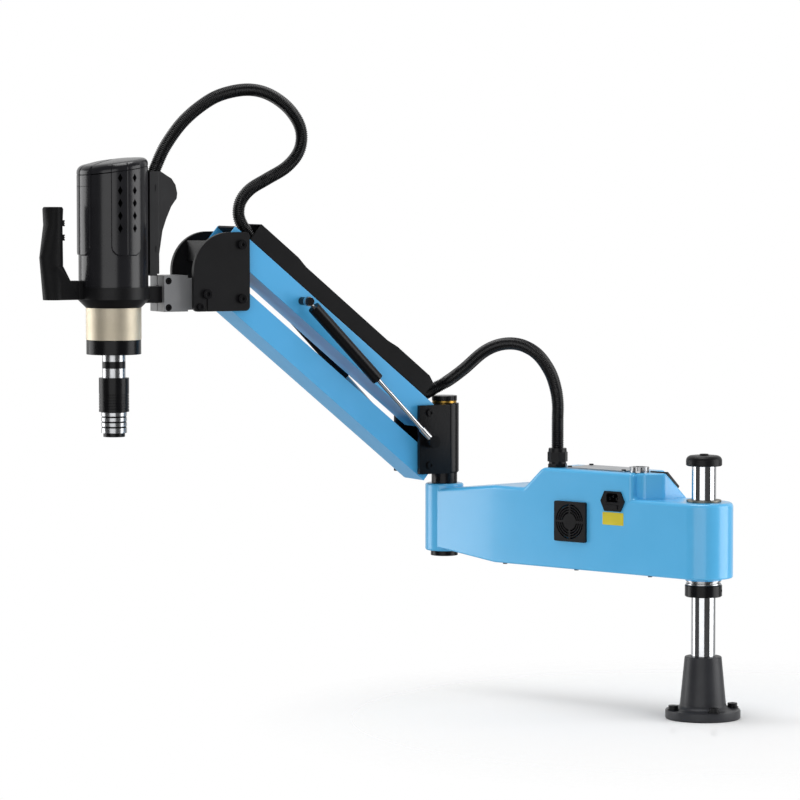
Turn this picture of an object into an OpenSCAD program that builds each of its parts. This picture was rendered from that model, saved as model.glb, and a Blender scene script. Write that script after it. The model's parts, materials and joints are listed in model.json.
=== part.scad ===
// Arm tapping machine: column, two hinged arms, a parallel lift with gas springs and a tapping head.
// Origin: column axis at the underside of the base flange. +Z is up, the first arm points along -X.
// All lengths are in millimetres and all angles in degrees.

/* [Column and base] */
// Diameter of the base flange
flange_d = 123; // [116:1:150]
// Thickness of the base flange
flange_t = 15; // [10:1:25]
// Height of the base above the bench
base_h = 102; // [70:1:120]
// Diameter of the base cone where it meets the flange
cone_d = 73; // [68:1:76]
// Diameter of the top of the base cone
cone_top_d = 61; // [52:1:66]
// Diameter of the column
column_d = 40; // [34:0.5:42]
// Height of the column's cap above the bench
column_h = 414; // [380:1:460]
// Diameter of the cap on the column
cap_d = 59; // [50:1:66]
// Diameter of the circle of base bolts
bolt_pcd = 103; // [98:1:106]
// Diameter of a base bolt's thread
bolt_d = 10; // [8:1:12]
// Height of the stop collar's underside
collar_z = 200; // [150:1:205]
// Height of the stop collar
collar_h = 20; // [16:1:28]

/* [First arm] */
// Distance from the column axis to the elbow axis
arm1_len = 563.3; // [540:0.1:620]
// Width of the arm casting
arm1_w = 96; // [94:1:104]
// Height of the casting's column boss
boss_h = 124; // [118:1:132]
// Height of the raised control box
box_h = 167; // [160:1:178]
// Wall of the casting
cast_wall = 6; // [5:0.5:8]
// Diameter of the elbow boss
elbow_boss_d = 66; // [60:1:72]
// Side of the fan guard
fan_side = 67; // [62:1:70]

/* [Second arm] */
// Direction of the second arm, seen from above
arm2_yaw = 250; // [200:1:290]
// Distance between a link's two pins
link_len = 460; // [440:1:500]
// Rise of the links above level
link_rise = 39.3; // [30:0.1:44]
// Height between the upper and the lower pins
pin_gap = 90; // [84:1:96]
// Width of a link
link_w = 70; // [64:1:74]
// Wall of a link
link_wall = 3; // [2:0.5:4]
// Thickness of a bracket plate
plate_t = 8; // [6:0.5:10]
// Diameter of a link pin
pin_d = 12; // [10:0.5:12]

/* [Tapping head] */
// Diameter of the motor cover
cover_d = 119.4; // [116:0.2:124]
// Height of the motor cover above its ring
cover_h = 215; // [200:1:225]
// Diameter of the gearbox ring
gearbox_d = 91.6; // [84:0.2:96]
// Diameter of the spindle
spindle_d = 38.6; // [36:0.2:40]
// Diameter of the chuck sleeve
sleeve_d = 50; // [48:0.5:54]
// Diameter of the tap adapter
adapter_d = 42.6; // [40:0.2:46]
// Bore of the tap adapter
tap_d = 10; // [6:0.5:12]
// Height of the handle's grip
grip_h = 152; // [140:1:170]

/* [Cable conduit] */
// Diameter over the conduit's ribs
conduit_d = 21.2; // [18:0.2:22]
// Wall of the conduit
conduit_wall = 1.9; // [1.2:0.1:2.2]

/* [Hidden] */

// Overrun of every cut
over = 1;
// Running clearance, radial
fit = 0.05;
// Gap between flat faces that move past each other
gap = 0.3;

// Base: floor under the column, chamfers and bolts
base_floor = 8;
edge = 1.5;
bolt_hole_d = bolt_d + 1;
bolt_reach = 22;
bolt_shank_d = bolt_d + 0.4;
bolt_head_d = 1.6 * bolt_d;
bolt_washer_d = 2 * bolt_d;
bolt_washer_t = 2;
bolt_head_h = 6;
bolt_first = 58;
hex_share = 0.5;
cap_h = 17;
cap_recess = 6;
cap_screw_d = 8;
cap_screw_len = 30;

// Stack on the column, from the collar up
collar_d = cap_d + 2;
collar_slit = 3;
collar_screw_d = 5;
collar_screw_len = 34;
race_t = 2;
race_d = collar_d - 3;
ball_d = 3;
ball_count = 20;
cage_t = 1.4;
lip_h = 4;
lip_d = collar_d - 1;
arm1_z = collar_z + collar_h + 2 * race_t + ball_d + lip_h;
bush_wall = 4;
bush_len = 32;
bush_flange_d = cap_d - 2;
bush_flange_t = 3.5;
column_r = column_d / 2;
column_boss_r = column_r + bush_wall + cast_wall + 2;

// First arm: profile of the casting
deck_step = 7;
deck_h = boss_h + deck_step;
neck_at = 410;
neck_w = 59;
neck_rise = 15;
neck_drop = 16.5;
box_near = 113;
box_far = 305;
box_foot = 345;
elbow_boss_z = 7.5;
elbow_boss_r = elbow_boss_d / 2;
wedge_step = 14;
wedge_front = 98;
wedge_end = 74;
wedge_turn = 24;
ridge_at = 4;
cavity_near = 62;
cover_plate_t = 3;
top_plate_t = 2;
top_open_near = 149;
top_open_far = 255;
top_open_w = 66;
top_plate_lap = 9;
bottom_open_near = 80;
bottom_open_far = 392;
bottom_open_w = 72;
bottom_lap = 6;
small_screw_d = 4;
small_head_d = 7.5;
small_head_h = 2;
arm_screw_depth = 5;

// First arm: what it carries
fan_at = 240;
fan_z = 80;
fan_hole_d = 58;
fan_guard_t = 5;
fan_frame_side = 60;
fan_frame_t = 15;
fan_hub_d = 24;
fan_blades = 7;
fan_rings = 4;
fan_ring_wall = 1.8;
inlet_at = 151;
inlet_under_top = 48;
inlet_z = box_h - inlet_under_top;
inlet_w = 50;
inlet_h = 33;
inlet_flange_t = 3;
inlet_depth = 26;
socket_w = 24;
socket_h = 15;
socket_depth = 17;
socket_up = 6;
fuse_w = 23;
fuse_h = 8;
fuse_drop = 9.5;
fuse_depth = 20;
fuse_proud = 1.2;
pin_blade_w = 2;
pin_blade_h = 4;
label_w = 44;
label_h = 21;
label_t = 0.6;
label_under_inlet = 29;
label_z = inlet_z - label_under_inlet;
gland_at = 289;
gland_side = 25;
gland_h = 32;
gland_seat = 2;
gland_body_d = 29;
gland_nut_d = 34;
gland_dome_d = 30;
socket_at = 121;
socket_side = 17;
socket_ring_d = 33;
socket_ring_h = 9;
screen_t = 4;
panel_margin = 3;
panel_len = 34;
panel_thick = 5;
panel_w = box_near - wedge_end - 2 * over;
drive_at = 302;
drive_len = 84;
drive_w = 56;
drive_h = 92;
supply_at = 88;
supply_len = 116;
supply_w = 64;
supply_h = 42;

// Elbow, from the casting's elbow boss up
elbow_collar_h = 18.3;
elbow_washer_t = 1.5;
elbow_z = arm1_z + boss_h + elbow_collar_h + elbow_washer_t + gap;
elbow_pin_r = 15;
elbow_collar_r = 22.3;
elbow_cap_h = 9;
elbow_cap_r = 23.5;
hub_r = 25;
hub_h = 118;
elbow_bush_wall = 3.5;
elbow_bush_len = 30;
brass_t = 4;
brass_r = 21;
elbow_nut_h = 8.6;
elbow_nut_r = 21.7;
ear_from = 15;
ear_to = 74;
slot_from = 27;
side_play = 4;
ear_gap = link_w / 2 + side_play;
pin_out = 54;
lower_pin_z = 15;
pin_head_d = 13;
pin_head_h = 3.5;
pin_r = pin_d / 2;
link_bush_wall = 3;

// Links, across their pin lines
upper_top = 19.5;
upper_bottom = 23;
lower_top = 19;
lower_bottom = 24;
link_end = 12.6;
upper_front = 23.4;
front_cap_t = 4;
front_cap_proud = 1;
cover_end_h = 53;
cover_wall = 2.5;
cover_from = 22;
cover_to = 448;
cover_step_shares = [0, 0.03, 0.22, 0.27, 0.74, 0.79, 0.97, 1];
cover_rise_shares = [0.85, 1, 1, 0.9, 0.9, 1, 1, 1];

// Gas springs
stud_back = 0;
stud_drop = 49;
stud_on_link = 308;
spring_side = 59;
spring_end_r = 8;
spring_end_w = 8;
spring_neck_r = 3.2;
stud_r = 4;
stud_spacer_r = 6.9;
stud_head_h = 5;
ball_stud_r = 4.5;
cup_r = 10.5;
cup_bore_r = 8.9;
cup_w = 16;
cup_floor = 2;
cup_near = 8;
spring_r = 10.5;
spring_wall = 1.5;
spring_start = 14;
spring_end_at = 187;
rod_r = 4;
rod_inside = 60;
piston_t = 12;
rod_ferrule_r = 5.5;
rod_ferrule_len = 22;

// Head bracket on the front pins
bracket_back = 15;
bracket_front = 88;
bracket_down = 20.4;
bracket_up = 110.6;
bracket_big_r = 65;
bracket_small_r = 8;
plate_slit = 2;
front_head_d = 16;
front_head_h = 5;
spacer_from = 40;
spacer_to = 62;
spacer_z = 62;
spacer_h = 34;
tilt_out = 64;
tilt_up = 8.6;
tilt_pin_r = 6;
tilt_head_r = 8;
tilt_head_h = 5;
lock_out = 76;
lock_up = -12.4;
lock_r = 3;
tilt_boss_r = 14;
block_half = 28;
block_from = 26;
block_to = 69;
block_up = 31;
block_down = 29;
block_tail = 19;
tail_up = 25;
spigot_r = 15;
block_slit = 2.5;
clamp_at = 61;
clamp_up = 22;
clamp_screw_r = 3;
clamp_head_r = 5.5;
clamp_head_h = 5;

// Tapping head, from the roll axis up and down
head_out = 148;
head_ring_up = 13;
head_ring_down = 7;
head_ring_r = cover_d / 2 + 0.3;
head_cone_h = 14;
lug_reach = head_out - block_to - gap;
lug_half = 20;
motor_side = 60;
motor_h = 118;
encoder_side = 48;
encoder_h = 34;
motor_flange_h = 6;
head_bore_r = 30;
cover_shell = 3;
cover_slope = 8;
panel_proud = 2.2;
panel_step = 0.6;
panel_ridge = 1.2;
panel_half = 27;
panel_foot = 66;
panel_taper = 14;
panel_foot_turn = 25;
vent_w = 8;
vent_h = 15;
vent_rows = 5;
vent_pitch = 20.6;
vent_low = 110;
vent_turn = 12.5;
fin_depth = 51;
fin_h = 172;
fin_z = 31;
fin_half = 22;
fin_root = 55;
fin_wall = 2.5;
fin_exit_out = 71;
fin_exit_up = 195;
fin_exit_lean = 22.4;
fin_shares = [[0, 1], [0.41, 1], [0.8, 0.93], [0.94, 0.87], [1, 0.79], [0.98, 0.74], [0.784, 0.663],
  [0.6, 0.54], [0.47, 0.43], [0.353, 0.21], [0.275, 0], [0, 0]];
gearbox_h = 53;
lower_ring_h = 24;
lower_ring_step = 0.5;
bearing_r = 24;
bearing_h = 14;
spindle_core_r = 12.5;
spindle_h = 39;
nose_r = 14;
nose_h = 52;
sleeve_h = 56;
sleeve_lip_z = 28;
sleeve_lip_h = 15;
adapter_h = 34;
adapter_foot_r = 18;
adapter_foot_h = 6.5;
adapter_shank_r = 9.5;
adapter_shank_h = 34;
tap_depth = 26;
groove = 1.2;
sleeve_grooves = 6;
adapter_grooves = 3;

// Handle
grip_out = 107.5;
grip_r = 17;
grip_swell = 6.6;
grip_from = 67.4;
flare_from = 82;
flare_h = 22;
arm_up = 24;
arm_from = 50;
arm_half = 13;
button_w = 12;
button_h = 10;
button_proud = 4;
button_depth = 6;
button_z_upper = 118.5;
button_z_lower = 95;
button_play = 0.3;

// Conduits: rib pitch, sides and routes in round numbers
rib_pitch = 5.5;
rib_depth = 1.3;
hose_sides = 8;
hose_stride = 4;
head_route = [[551, 885], [544, 902], [527, 935], [496, 974], [458, 1004], [423, 1021], [378, 1029],
  [340, 1023], [305, 1003], [282, 976], [275, 950], [282, 923], [305, 899], [340, 880],
  [371, 863], [389, 843], [393, 820], [385, 800], [372, 785], [360, 770]];
arm_route = [[-596, -86, 501], [-585, -60, 502], [-578, -40, 508], [-570, -18, 519], [-554, -3, 531],
  [-517, -3, 553], [-474, -5, 582], [-440, -7, 596], [-405, -9, 601], [-372, -11, 597],
  [-339, -15, 583], [-312, -18, 557], [-297, -21, 530], [-290, -23.5, 504], [-289, -25, 480],
  [-289, -25, 452], [-289, -25, 428]];

// Frames: each moves its children to where a sub-part stands at rest
module on_arm1() { translate([0, 0, arm1_z]) rotate([0, 0, 180]) children(); }
module on_arm2() { translate([-arm1_len, 0, elbow_z]) rotate([0, 0, arm2_yaw]) children(); }
module on_upper() {
  on_arm2() translate([pin_out, 0, lower_pin_z + pin_gap]) rotate([0, -link_rise, 0]) children();
}
module on_lower() { on_arm2() translate([pin_out, 0, lower_pin_z]) rotate([0, -link_rise, 0]) children(); }
module on_bracket() {
  on_arm2() translate([pin_out + link_len * cos(link_rise), 0, lower_pin_z + link_len * sin(link_rise)])
    children();
}
module on_tilt() { on_bracket() translate([tilt_out, 0, tilt_up]) children(); }
module on_head() { on_tilt() translate([head_out, 0, 0]) children(); }
module on_spindle() {
  on_head() translate([0, 0, -head_ring_down - head_cone_h - gearbox_h - lower_ring_h]) children();
}
module both_sides() {
  children();
  mirror([0, 1, 0]) children();
}

// Shapes used by several sub-parts
module slab(y0, y1) { translate([0, y1, 0]) rotate([90, 0, 0]) linear_extrude(y1 - y0) children(); }
module across(r, y0, y1) { translate([0, y0, 0]) rotate([-90, 0, 0]) cylinder(r = r, h = y1 - y0, $fn = 48); }
module ring(r_out, r_in, h) {
  difference() {
    cylinder(r = r_out, h = h, $fn = 96);
    translate([0, 0, -over]) cylinder(r = r_in, h = h + 2 * over, $fn = 96);
  }
}
module block(x0, x1, half, z0, z1) { translate([x0, -half, z0]) cube([x1 - x0, 2 * half, z1 - z0]); }
module rounded(w, h, r) {
  square([w - 2 * r, h], center = true);
  square([w, h - 2 * r], center = true);
  for (x = [-1, 1], y = [-1, 1]) translate([x * (w / 2 - r), y * (h / 2 - r)]) circle(r, $fn = 32);
}
module corner_cut(at, r, dir) {
  translate([at.x - dir.x * r, at.y - dir.y * r]) difference() {
    translate([dir.x > 0 ? 0 : -r - over, dir.y > 0 ? 0 : -r - over]) square(r + over);
    circle(r, $fn = 64);
  }
}
module cap_screw(r, len, head_r, head_h) {
  translate([0, 0, -len]) cylinder(r = r, h = len, $fn = 32);
  difference() {
    cylinder(r = head_r, h = head_h, $fn = 48);
    translate([0, 0, head_h * (1 - hex_share)]) cylinder(r = head_r * hex_share, h = head_h, $fn = 6);
  }
}

// Base and column
module column_base() {
  r = flange_d / 2;
  color("#2e3136") difference() {
    rotate_extrude($fn = 96) polygon([[0, 0], [r - edge, 0], [r, edge], [r, flange_t - edge],
      [r - edge, flange_t], [cone_d / 2 + 2 * edge, flange_t], [cone_d / 2, flange_t + 2 * edge],
      [cone_top_d / 2, base_h - edge], [cone_top_d / 2 - edge, base_h],
      [column_r + fit, base_h], [column_r + fit, base_floor], [0, base_floor]]);
    for (i = [0:3]) rotate([0, 0, bolt_first + 90 * i]) translate([bolt_pcd / 2, 0, -over])
      cylinder(d = bolt_hole_d, h = flange_t + 2 * over, $fn = 48);
  }
}
module base_bolts() {
  color("#1d1e20") translate([0, 0, flange_t]) for (i = [0:3]) rotate([0, 0, bolt_first + 90 * i])
    translate([bolt_pcd / 2, 0, 0]) {
      translate([0, 0, bolt_washer_t])
        cap_screw(bolt_d / 2, flange_t + bolt_washer_t + bolt_reach, bolt_head_d / 2, bolt_head_h);
      ring(bolt_washer_d / 2, bolt_d / 2, bolt_washer_t);
      translate([0, 0, -flange_t]) cylinder(d = bolt_shank_d, h = flange_t + bolt_washer_t, $fn = 48);
    }
}
module column() {
  top = column_h + cap_recess;
  color("#c9ccd0") difference() {
    rotate_extrude($fn = 96) polygon([[0, base_floor], [column_r, base_floor], [column_r, top - edge],
      [column_r - edge, top], [0, top]]);
    translate([0, 0, top - cap_screw_len]) cylinder(d = cap_screw_d, h = cap_screw_len + over, $fn = 32);
  }
}
module column_cap() {
  r = cap_d / 2;
  arc = [for (a = [0:15:90]) [r - cap_h / 2 + cap_h / 2 * cos(a), cap_h / 2 + cap_h / 2 * sin(a)]];
  color("#161718") translate([0, 0, column_h]) {
    difference() {
      rotate_extrude($fn = 96) polygon(concat([[cap_screw_d / 2, cap_recess], [column_r, cap_recess],
        [column_r, 0], [r - edge, 0], [r, edge]], arc, [[cap_screw_d / 2, cap_h]]));
      translate([0, 0, cap_h - edge]) cylinder(r = cap_screw_d, h = cap_h, $fn = 48);
    }
    translate([0, 0, cap_h - edge]) cap_screw(cap_screw_d / 2, cap_h - edge - cap_recess + cap_screw_len / 2,
      cap_screw_d * 0.9, cap_screw_d / 2);
  }
}

// Stop collar and thrust bearing, which slide on the column
module collar_bolt_line() { translate([collar_d / 4 + column_r / 2, 0, collar_h / 2]) children(); }
module stop_collar() {
  color("#26272a") translate([0, 0, collar_z]) rotate([0, 0, 60]) difference() {
    rotate_extrude($fn = 96) polygon([[column_r + fit, 0], [collar_d / 2 - edge, 0], [collar_d / 2, edge],
      [collar_d / 2, collar_h - edge], [collar_d / 2 - edge, collar_h], [column_r + fit, collar_h]]);
    translate([0, -collar_slit / 2, -over]) cube([collar_d, collar_slit, collar_h + 2 * over]);
    collar_bolt_line() rotate([90, 0, 0]) cylinder(d = collar_screw_d, h = collar_d, center = true, $fn = 32);
    collar_bolt_line() translate([0, collar_screw_len / 2 - collar_screw_d, 0]) rotate([-90, 0, 0])
      cylinder(d = 1.7 * collar_screw_d, h = collar_d, $fn = 48);
  }
}
module collar_screw() {
  color("#1b1c1e") translate([0, 0, collar_z]) rotate([0, 0, 60]) collar_bolt_line()
    translate([0, collar_screw_len / 2 - collar_screw_d, 0]) rotate([-90, 0, 0])
      cap_screw(collar_screw_d / 2, collar_screw_len - 2 * collar_screw_d, 0.8 * collar_screw_d,
        0.6 * collar_screw_d);
}
module thrust_bearing() {
  ball_r = ball_d / 2;
  pitch_r = (race_d / 2 + column_r) / 2;
  cage_half = ball_d * 0.8;
  color("#b9bbbe") translate([0, 0, collar_z + collar_h]) {
    ring(race_d / 2, column_r + fit, race_t);
    translate([0, 0, race_t + ball_d]) ring(race_d / 2, column_r + fit, race_t - gap);
    for (i = [0:ball_count - 1]) rotate([0, 0, 360 * i / ball_count]) translate([pitch_r, 0, race_t + ball_r])
      sphere(d = ball_d - 2 * fit, $fn = 24);
    translate([0, 0, race_t + ball_r - cage_t / 2]) difference() {
      ring(pitch_r + cage_half, pitch_r - cage_half, cage_t);
      for (i = [0:ball_count - 1]) rotate([0, 0, 360 * i / ball_count]) translate([pitch_r, 0, -over])
        cylinder(r = ball_r + fit, h = cage_t + 2 * over, $fn = 24);
    }
  }
}

// First arm: the casting
module arm_plan(inset, from, to) {
  w = arm1_w / 2 - inset;
  n = neck_w / 2 - inset;
  polygon([[from, w], [neck_at, w], [to, n + (w - n) * (arm1_len - to) / (arm1_len - neck_at)],
    [to, -n - (w - n) * (arm1_len - to) / (arm1_len - neck_at)], [neck_at, -w], [from, -w]]);
}
module arm_side(inset) {
  polygon([[0, inset], [neck_at, inset], [arm1_len, neck_rise + inset],
    [arm1_len, deck_h - neck_drop - inset], [neck_at, deck_h - inset],
    [box_foot + inset, deck_h - inset], [box_far + inset / 2, box_h - inset],
    [box_near + inset, box_h - inset], [box_near + inset, boss_h - inset], [0, boss_h - inset]]);
}
module wedge() {
  half = arm1_w / 2;
  intersection() {
    linear_extrude(box_h) polygon([[box_near + over, half - wedge_step], [wedge_front, half - wedge_step],
      [wedge_end, half - wedge_step - wedge_turn], [wedge_end - 2 * edge, -half], [box_near + over, -half]]);
    rotate([90, 0, 90]) linear_extrude(box_near + over) polygon([[half, 0], [half, box_h], [ridge_at, box_h],
      [-half, boss_h], [-half, 0]]);
  }
}
module slope_frame() {
  fall = box_h - boss_h;
  run = arm1_w / 2 + ridge_at;
  translate([0, ridge_at, box_h]) rotate([atan2(fall, run), 0, 0]) children();
}
module fan_place() { translate([fan_at, arm1_w / 2, fan_z]) children(); }
module inlet_place() { translate([inlet_at, arm1_w / 2, inlet_z]) children(); }
module bottom_screw_places() {
  for (x = [bottom_open_near, (bottom_open_near + bottom_open_far) / 2, bottom_open_far], s = [-1, 1])
    translate([x, s * (bottom_open_w / 2 + bottom_lap / 2), 0]) children();
}
module top_screw_places() {
  for (x = [top_open_near - top_plate_lap / 2, top_open_far + top_plate_lap / 2], s = [-1, 1])
    translate([x, s * (top_open_w / 2 - top_plate_lap / 2), box_h + top_plate_t]) children();
}
module arm_housing() {
  half = arm1_w / 2;
  color("#4fa3d9") on_arm1() difference() {
    union() {
      intersection() {
        linear_extrude(box_h) arm_plan(0, 0, arm1_len);
        slab(-half, half) arm_side(0);
      }
      cylinder(r = half, h = boss_h, $fn = 128);
      translate([0, 0, -lip_h]) cylinder(d = lip_d, h = lip_h + over, $fn = 96);
      translate([arm1_len, 0, elbow_boss_z]) cylinder(r = elbow_boss_r, h = boss_h - elbow_boss_z, $fn = 96);
      wedge();
    }
    difference() {
      intersection() {
        translate([0, 0, cover_plate_t]) linear_extrude(box_h)
          arm_plan(cast_wall, cavity_near, arm1_len - elbow_pin_r - 2 * cast_wall);
        slab(-half, half) arm_side(cast_wall);
      }
      cylinder(r = column_boss_r, h = box_h, $fn = 96);
      translate([arm1_len, 0, 0]) cylinder(r = elbow_pin_r + cast_wall, h = box_h, $fn = 96);
    }
    block(bottom_open_near, bottom_open_far, bottom_open_w / 2 - bottom_lap, -over, 2 * cast_wall);
    block(bottom_open_near - 2 * bottom_lap, bottom_open_far + 2 * bottom_lap, bottom_open_w / 2 + bottom_lap,
      -over, cover_plate_t);
    block(top_open_near, top_open_far, top_open_w / 2 - top_plate_lap, box_h - 2 * cast_wall, box_h + over);
    translate([0, 0, -lip_h - over]) cylinder(r = column_r + bush_wall, h = box_h, $fn = 96);
    translate([arm1_len, 0, 0]) cylinder(r = elbow_pin_r, h = box_h, $fn = 96);
    fan_place() across(fan_hole_d / 2, -2 * cast_wall, over);
    inlet_place() slab(-2 * cast_wall, over)
      square([inlet_w - 4 * inlet_flange_t, inlet_h - 2 * inlet_flange_t], center = true);
    bottom_screw_places() cylinder(d = small_screw_d, h = cover_plate_t + arm_screw_depth - over, $fn = 24);
    top_screw_places() translate([0, 0, -arm_screw_depth]) cylinder(d = small_screw_d, h = box_h, $fn = 24);
    translate([gland_at, gland_side, box_h - 2 * cast_wall])
      cylinder(d = conduit_d, h = 3 * cast_wall, $fn = 48);
    translate([socket_at, socket_side, box_h - 2 * cast_wall])
      cylinder(d = conduit_d / 2, h = 3 * cast_wall, $fn = 48);
  }
}
module column_bushes() {
  color("#b8a878") on_arm1() {
    ring(column_r + bush_wall, column_r + fit, bush_len - lip_h);
    translate([0, 0, boss_h - bush_len]) ring(column_r + bush_wall, column_r + fit, bush_len);
    translate([0, 0, boss_h]) ring(bush_flange_d / 2, column_r + fit, bush_flange_t);
  }
}
module top_cover() {
  x0 = top_open_near - top_plate_lap;
  x1 = top_open_far + top_plate_lap;
  color("#b4b7b9") on_arm1() difference() {
    translate([(x0 + x1) / 2, 0, box_h]) linear_extrude(top_plate_t) rounded(x1 - x0, top_open_w, 2 * edge);
    top_screw_places() translate([0, 0, -2 * top_plate_t])
      cylinder(d = small_screw_d, h = 3 * top_plate_t, $fn = 24);
  }
}
module bottom_cover() {
  color("#4b4f54") on_arm1() difference() {
    block(bottom_open_near - 2 * bottom_lap + fit, bottom_open_far + 2 * bottom_lap - fit,
      bottom_open_w / 2 + bottom_lap - fit, 0, cover_plate_t);
    bottom_screw_places() translate([0, 0, -over])
      cylinder(d = small_screw_d, h = 2 * cover_plate_t, $fn = 24);
  }
}
module cover_screws() {
  color("#2a2b2d") on_arm1() {
    bottom_screw_places() rotate([180, 0, 0])
      cap_screw(small_screw_d / 2, cover_plate_t + arm_screw_depth - 2 * over, small_head_d / 2,
        small_head_h);
    top_screw_places() cap_screw(small_screw_d / 2, arm_screw_depth - over, small_head_d / 2, small_head_h);
  }
}
module control_panel() {
  color("#151617") on_arm1() slope_frame() difference() {
    translate([wedge_end + over, -panel_len - 3 * panel_margin, 0])
      cube([panel_w, panel_len + 2 * panel_margin, panel_thick]);
    translate([wedge_end + over + panel_margin, -panel_len - 2 * panel_margin, panel_thick - screen_t])
      cube([panel_w - 2 * panel_margin, panel_len, screen_t + over]);
  }
}
module touch_screen() {
  color("#2b3440") on_arm1() slope_frame()
    translate([wedge_end + over + panel_margin + fit, -panel_len - 2 * panel_margin + fit,
      panel_thick - screen_t])
      cube([panel_w - 2 * panel_margin - 2 * fit, panel_len - 2 * fit, screen_t - over / 2]);
}
module signal_socket() {
  flutes = 24;
  color("#c4c7ca") on_arm1() translate([socket_at, socket_side, box_h]) {
    difference() {
      cylinder(d = socket_ring_d, h = socket_ring_h, $fn = 96);
      translate([0, 0, socket_ring_h / 2]) cylinder(r = conduit_d / 2, h = socket_ring_h, $fn = 64);
      for (i = [0:flutes - 1]) rotate([0, 0, 360 * i / flutes]) translate([socket_ring_d / 2, 0, 2 * groove])
        cylinder(r = groove, h = socket_ring_h, $fn = 16);
    }
    translate([0, 0, -2 * cast_wall]) cylinder(d = conduit_d / 2 - 2 * fit, h = 2 * cast_wall, $fn = 48);
  }
}
module fan_guard() {
  color("#17191c") on_arm1() fan_place() slab(0, fan_guard_t) difference() {
    rounded(fan_side, fan_side, 2 * edge);
    for (i = [1:fan_rings]) difference() {
      circle(d = fan_hub_d + (fan_hole_d - fan_hub_d) * i / fan_rings, $fn = 96);
      circle(d = fan_hub_d + (fan_hole_d - fan_hub_d) * (i - 1) / fan_rings + 2 * fan_ring_wall, $fn = 96);
      for (a = [0, 90]) rotate(a) square([fan_hole_d, 2 * fan_ring_wall], center = true);
    }
  }
}
module fan_frame() {
  inner = cast_wall;
  color("#202225") on_arm1() fan_place() {
    slab(-inner - fan_frame_t, -inner) difference() {
      square(fan_frame_side, center = true);
      circle(d = fan_hole_d, $fn = 96);
    }
    slab(-inner - fan_frame_t, -inner - fan_frame_t + 2 * edge) {
      circle(d = fan_hub_d, $fn = 64);
      for (a = [45, 135]) rotate(a) square([fan_hole_d + 2 * edge, 2 * edge], center = true);
    }
    across(edge, -inner - fan_frame_t + edge, -inner - 2 * edge);
  }
}
module fan_impeller() {
  inner = cast_wall;
  back = -inner - fan_frame_t + 2 * edge + gap;
  color("#141518") on_arm1() fan_place() difference() {
    union() {
      across(fan_hub_d / 2, back, -inner - edge);
      for (i = [0:fan_blades - 1]) rotate([0, 360 * i / fan_blades, 0])
        translate([0, -inner - fan_frame_t / 2, fan_hub_d / 2 - edge]) rotate([0, 0, 35])
          translate([-edge / 2, -fan_frame_t / 4, 0])
            cube([edge, fan_frame_t / 2, (fan_hole_d - fan_hub_d) / 2]);
    }
    across(edge + fit, back - over, -inner - 2 * edge + gap);
  }
}
module inlet_outline() {
  polygon([[-inlet_w / 2, 0], [-inlet_w / 3, inlet_h / 2], [inlet_w / 3, inlet_h / 2], [inlet_w / 2, 0],
    [inlet_w / 3, -inlet_h / 2], [-inlet_w / 3, -inlet_h / 2]]);
}
module power_inlet() {
  body_w = inlet_w - 4 * inlet_flange_t - 2 * fit;
  body_h = inlet_h - 2 * inlet_flange_t - 2 * fit;
  color("#141517") on_arm1() inlet_place() {
    difference() {
      union() {
        slab(0, inlet_flange_t) inlet_outline();
        slab(-inlet_depth, 0) square([body_w, body_h], center = true);
      }
      translate([0, 0, socket_up]) slab(inlet_flange_t - socket_depth, inlet_flange_t + over) difference() {
        square([socket_w, socket_h], center = true);
        for (s = [-1, 1]) translate([s * socket_w / 2, socket_h / 2]) rotate(45)
          square(socket_h / 4, center = true);
      }
      translate([0, 0, -fuse_drop]) slab(inlet_flange_t - fuse_depth, inlet_flange_t + over)
        square([fuse_w, fuse_h], center = true);
    }
    color("#c8c6bc") for (i = [-1, 0, 1])
      translate([i * socket_w / 3.4, 0, socket_up + (i == 0 ? socket_h / 7 : -socket_h / 7)])
        slab(inlet_flange_t - socket_depth, 0) square([pin_blade_w, pin_blade_h], center = true);
  }
}
module fuse_drawer() {
  color("#1a1b1d") on_arm1() inlet_place() translate([0, 0, -fuse_drop])
    slab(inlet_flange_t - fuse_depth + gap, inlet_flange_t + fuse_proud)
      square([fuse_w - gap, fuse_h - gap], center = true);
}
module blank_label() {
  color("#f4dc2e") on_arm1() translate([inlet_at, arm1_w / 2, label_z]) slab(0, label_t)
    rounded(label_w, label_h, edge);
}
module cable_gland() {
  body_h = gland_h * 0.3;
  nut_h = gland_h * 0.5;
  dome_h = gland_h - body_h - nut_h;
  color("#121315") on_arm1() translate([gland_at, gland_side, box_h]) difference() {
    union() {
      translate([0, 0, -2 * cast_wall]) cylinder(r = conduit_d / 2 - fit, h = 2 * cast_wall + over, $fn = 64);
      cylinder(d = gland_body_d, h = body_h + over, $fn = 64);
      cylinder(d = gland_nut_d, h = body_h * 0.6, $fn = 6);
      translate([0, 0, body_h]) cylinder(d = gland_nut_d, h = nut_h, $fn = 8);
      translate([0, 0, body_h + nut_h])
        cylinder(d1 = gland_nut_d * 0.92, d2 = gland_dome_d, h = dome_h, $fn = 64);
    }
    translate([0, 0, -2 * cast_wall - over]) cylinder(d = conduit_d / 2, h = 2 * gland_h, $fn = 48);
    translate([0, 0, gland_h - gland_seat]) cylinder(r = conduit_d / 2 + gap, h = gland_h, $fn = 48);
  }
}
module servo_drive() {
  color("#3a3d40") on_arm1()
    block(drive_at, drive_at + drive_len, drive_w / 2, cover_plate_t, cover_plate_t + drive_h);
}
module power_supply() {
  color("#9a9da0") on_arm1() block(supply_at, supply_at + supply_len, supply_w / 2 - 2 * edge, cover_plate_t,
    cover_plate_t + supply_h);
}

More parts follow.
